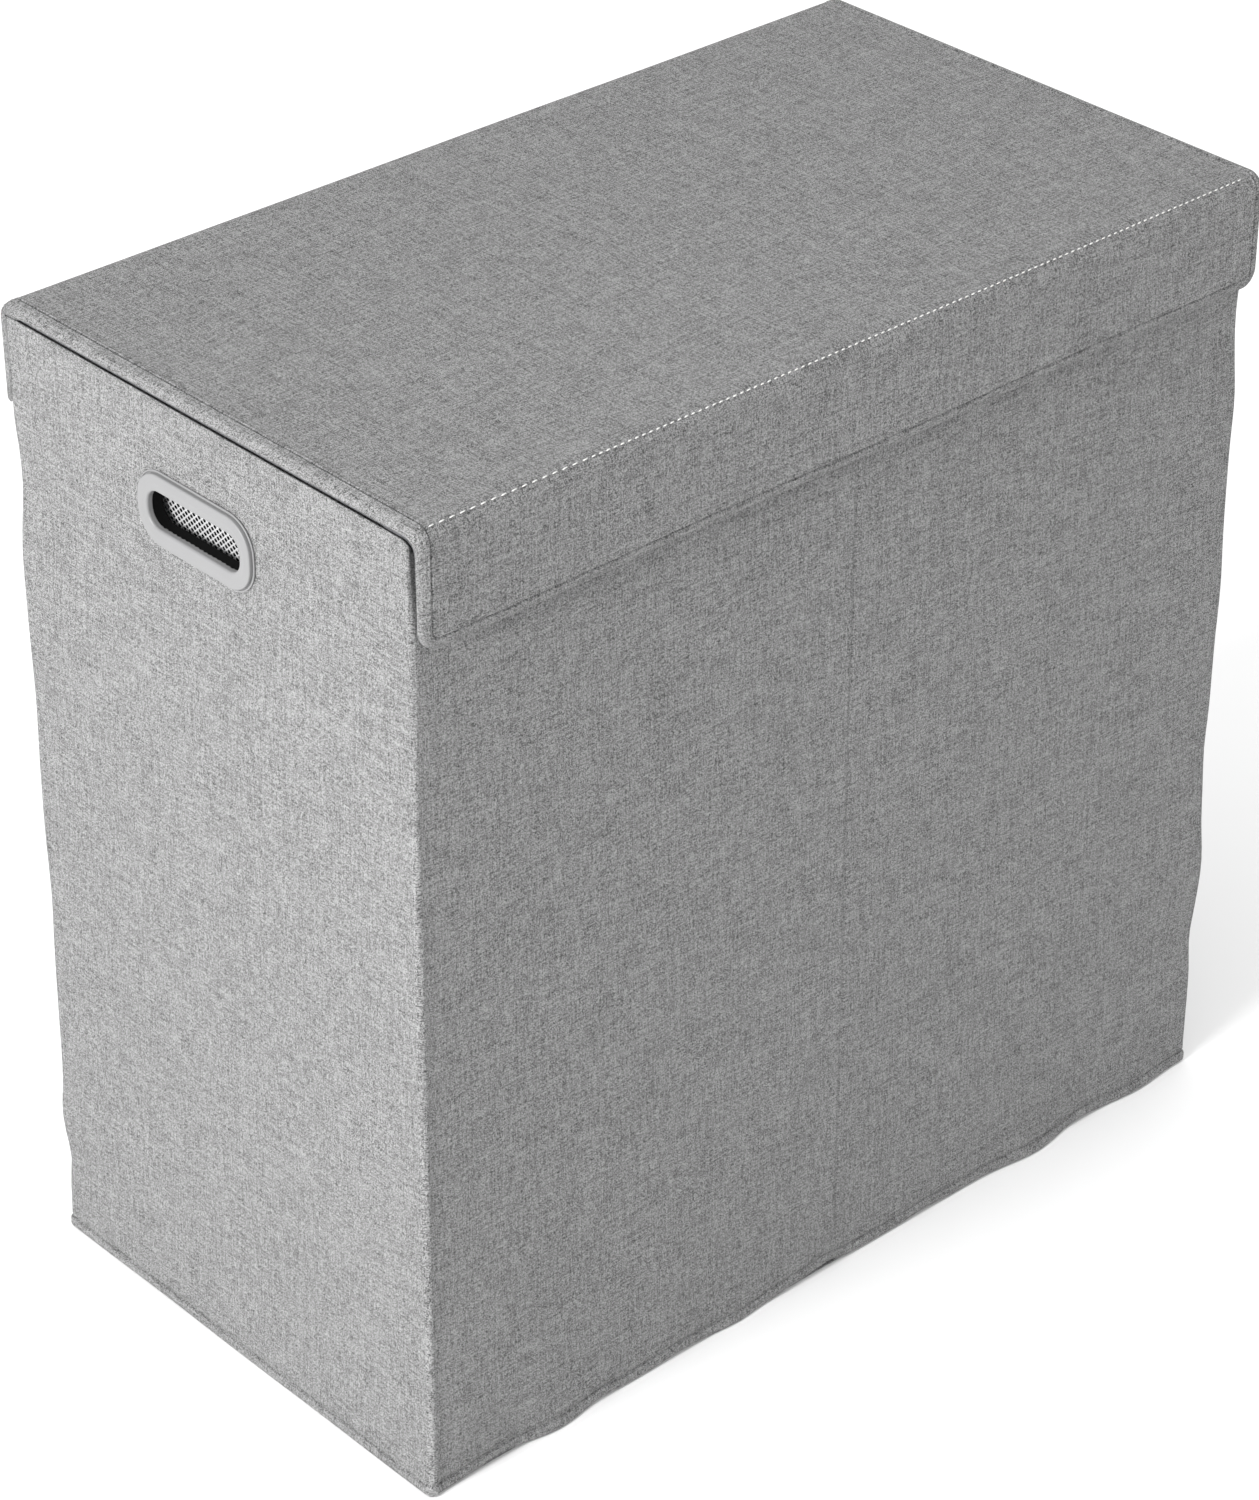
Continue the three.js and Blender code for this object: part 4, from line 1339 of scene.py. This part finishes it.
def handle(side, face):
    """A webbing loop: a flat section with round edges carried down, across and up again.

    Its path is a U in x and z. The section's width lies across the path, its thickness along y, and the
    loop leans a little into the bin between its sewn ends.
    """
    node = f"{side}_{face}_handle"
    lowest, highest = low(node), high(node)
    middle, half = (lowest + highest) / 2, (highest - lowest) / 2
    half_width, turn, lean_depth, near = 12.5 * MM, 13.5 * MM, 2.5 * MM, 0.1 * MM
    reach, foot = half[0] - half_width, lowest[2] + half_width
    corners = [(-reach, highest[2]), (-reach, foot), (reach, foot), (reach, highest[2])]
    path = rounded_path(corners, [turn, turn], 12)
    on_turns = np.concatenate([np.linspace(*path[2][:2], 10), np.linspace(*path[2][2:], 10)])
    distance = spaced(0, path[1][-1], 4 * MM, on_turns)
    after, before = np.minimum(distance + near, path[1][-1]), np.maximum(distance - near, 0)
    ahead = along(path, after) - along(path, before)
    ahead = ahead / np.linalg.norm(ahead, axis=1, keepdims=True)
    side_way = np.stack([-ahead[:, 1], ahead[:, 0]], axis=-1)
    thick = half[1]
    quarters = [(half_width, -thick), (half_width, thick), (-half_width, thick), (-half_width, -thick)]
    section = rounded_path([(0, -thick), *quarters, (0, -thick)], [0.7 * thick] * 4, 3)
    across, deep = section[0][:, 0], section[0][:, 1]
    lean = FACES[face] * -lean_depth * np.sin(math.pi * distance / distance[-1]) ** 2
    xz = along(path, distance)[:, None] + side_way[:, None] * across[None, :, None]
    points = np.empty((len(distance), len(across), 3))
    points[..., 0] = xz[..., 0] + middle[0]
    points[..., 1] = middle[1] + lean[:, None] + deep
    points[..., 2] = xz[..., 1]
    patches = [patch(points, grid_map(section[1], distance))]
    for row, flip in ((0, False), (-1, True)):
        cap = np.stack([points[row], np.broadcast_to(points[row].mean(axis=0), points[row].shape)])
        patches.append(patch(cap, flip=flip))
    loop = build(f"{side}_{face}_webbing_handle", "webbing", patches)
    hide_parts(node)
    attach(loop, f"{side}_{face}_handle")


def bins():
    """Each bin's netting, the band round its top and its two handles."""
    for side in SIDES:
        bin_net(side)
        bin_band(side)
        for face in FACES:
            handle(side, face)


# Wall boards


BOARD_TRIM = 0.5 * MM


def side_board(side):
    """A wall board with round upper corners and an opening for the grip.

    Its two faces run from the opening's outline to the board's own, and its edges join them.
    """
    node = f"{side}_side_board"
    lowest = low(node) + np.array([1, 1, 4]) * BOARD_TRIM
    highest = high(node) - np.array([1, 1, 5]) * BOARD_TRIM
    middle, half = (lowest + highest) / 2, (highest - lowest) / 2
    middle[0] -= SIDES[side] * BOARD_TRIM / 2
    hole = COLLAR_HALF - COLLAR_FLANGE + 0.2 * MM
    share = np.array([0, 0, 0, 0.05, 0.2, 0.5, 0.8, 1, 1, 1])
    share = np.concatenate([share, share[::-1], share[:1]])
    depth = np.concatenate([[0, 0.5, 1], np.ones(4), [1, 0.5, 0.2]])
    depth = np.concatenate([depth, -depth[::-1], [0]])
    hole_round, outer_round = np.array([9 * MM]), np.array([6.5 * MM])
    inner_y, inner_z = outline_ring(hole[:1], hole[1:], hole_round)
    outer_y, outer_z = outline_ring(half[1:2], half[2:], outer_round)
    share = share[:, None]
    y = (inner_y + GRIP_MIDDLE[1]) * (1 - share) + (outer_y + middle[1]) * share
    z = (inner_z + GRIP_MIDDLE[2]) * (1 - share) + (outer_z + middle[2]) * share
    x = np.broadcast_to(middle[0] + SIDES[side] * half[0] * depth[:, None], y.shape)
    points = np.stack([x, y, z], axis=-1)
    board = build(f"{side}_side_core", "board", [patch(points, flip=side == "left")])
    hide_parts(node)
    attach(board, "root")


def wall_boards():
    """The boards in the walls. The front ones end above the waving hem and below the rim's round ends."""
    trim = 3 * MM
    for side in SIDES:
        side_board(side)
        ends = (trim, 0) if side == "left" else (0, trim)
        flat_piece(
            f"front_{side}_core", "board", f"front_{side}_board", "root", 1,
            ((ends[0], 2 * BOARD_TRIM, 8 * MM), (ends[1], 0, 9 * MM)),
        )
        flat_piece(
            f"back_{side}_core", "board", f"back_{side}_board", "root", 1,
            ((ends[0], 0, 2 * MM), (ends[1], 2 * BOARD_TRIM, 5 * BOARD_TRIM)),
        )
    flat_piece("lid_core", "board", "lid_board", "lid", 2, ((0, 0, 0), (0, 0, 1.6 * MM)))
    flat_piece("base_core", "board", "base_board", "base", 2)


# Camera, light and floor


# Fitted to the corners and edges of the hamper in the photograph
CAMERA_PLACE = (-1.5291, -1.6688, 1.6851)
CAMERA_LOOK = (0.57132, 0.62842, -0.52790)
CAMERA_ROLL = math.radians(0.06)
LENS = 110.97


def camera():
    """The photograph's view: a long lens from the front left, a little above, without shift."""
    lens = bpy.data.cameras.new("photograph")
    lens.lens, lens.sensor_width, lens.sensor_fit = LENS, 36, "AUTO"
    lens.clip_start, lens.clip_end = 0.1, 50
    eye = bpy.data.objects.new("photograph", lens)
    turn = Vector(CAMERA_LOOK).to_track_quat("-Z", "Y").to_matrix().to_4x4()
    eye.matrix_world = Matrix.Translation(CAMERA_PLACE) @ turn @ Matrix.Rotation(CAMERA_ROLL, 4, "Z")
    bpy.context.scene.collection.objects.link(eye)
    bpy.context.scene.camera = eye


def softbox(name, towards, distance, size, power):
    """A square area light that faces the hamper's middle from a direction."""
    middle = Vector((0, 0, LID_TOP / 2))
    light = bpy.data.lights.new(name, "AREA")
    light.energy, light.size = power, size
    lamp = bpy.data.objects.new(name, light)
    way = Vector(towards).normalized()
    lamp.location = middle + way * distance
    lamp.rotation_euler = (-way).to_track_quat("-Z", "Y").to_euler()
    bpy.context.scene.collection.objects.link(lamp)


def studio():
    """A white room, one softbox on the left, a little above the hamper, and a pale floor."""
    world = bpy.data.worlds.new("white_room")
    bpy.context.scene.world = world
    world.use_nodes = True
    background = world.node_tree.nodes["Background"]
    background.inputs["Color"].default_value = (1, 1, 1, 1)
    background.inputs["Strength"].default_value = 1.12
    softbox("key", towards=(-1, -0.1, 0.42), distance=3.2, size=1.2, power=108)
    floor_size, floor_gap = 12.0, 0.2 * MM
    line = np.linspace(-floor_size / 2, floor_size / 2, 3)
    x, y = np.meshgrid(line, line)
    under = np.full(x.shape, -floor_gap)
    floor = build("stage_floor", None, [patch(np.stack([x, y, under], axis=-1))], stage_floor())
    bpy.context.scene.view_settings.view_transform = "Standard"


camera()
studio()
body_cloth()
wall_lining()
lid()
boards_and_linings()
fastener_pads()
centre_strap()
grips()
bins()
wall_boards()
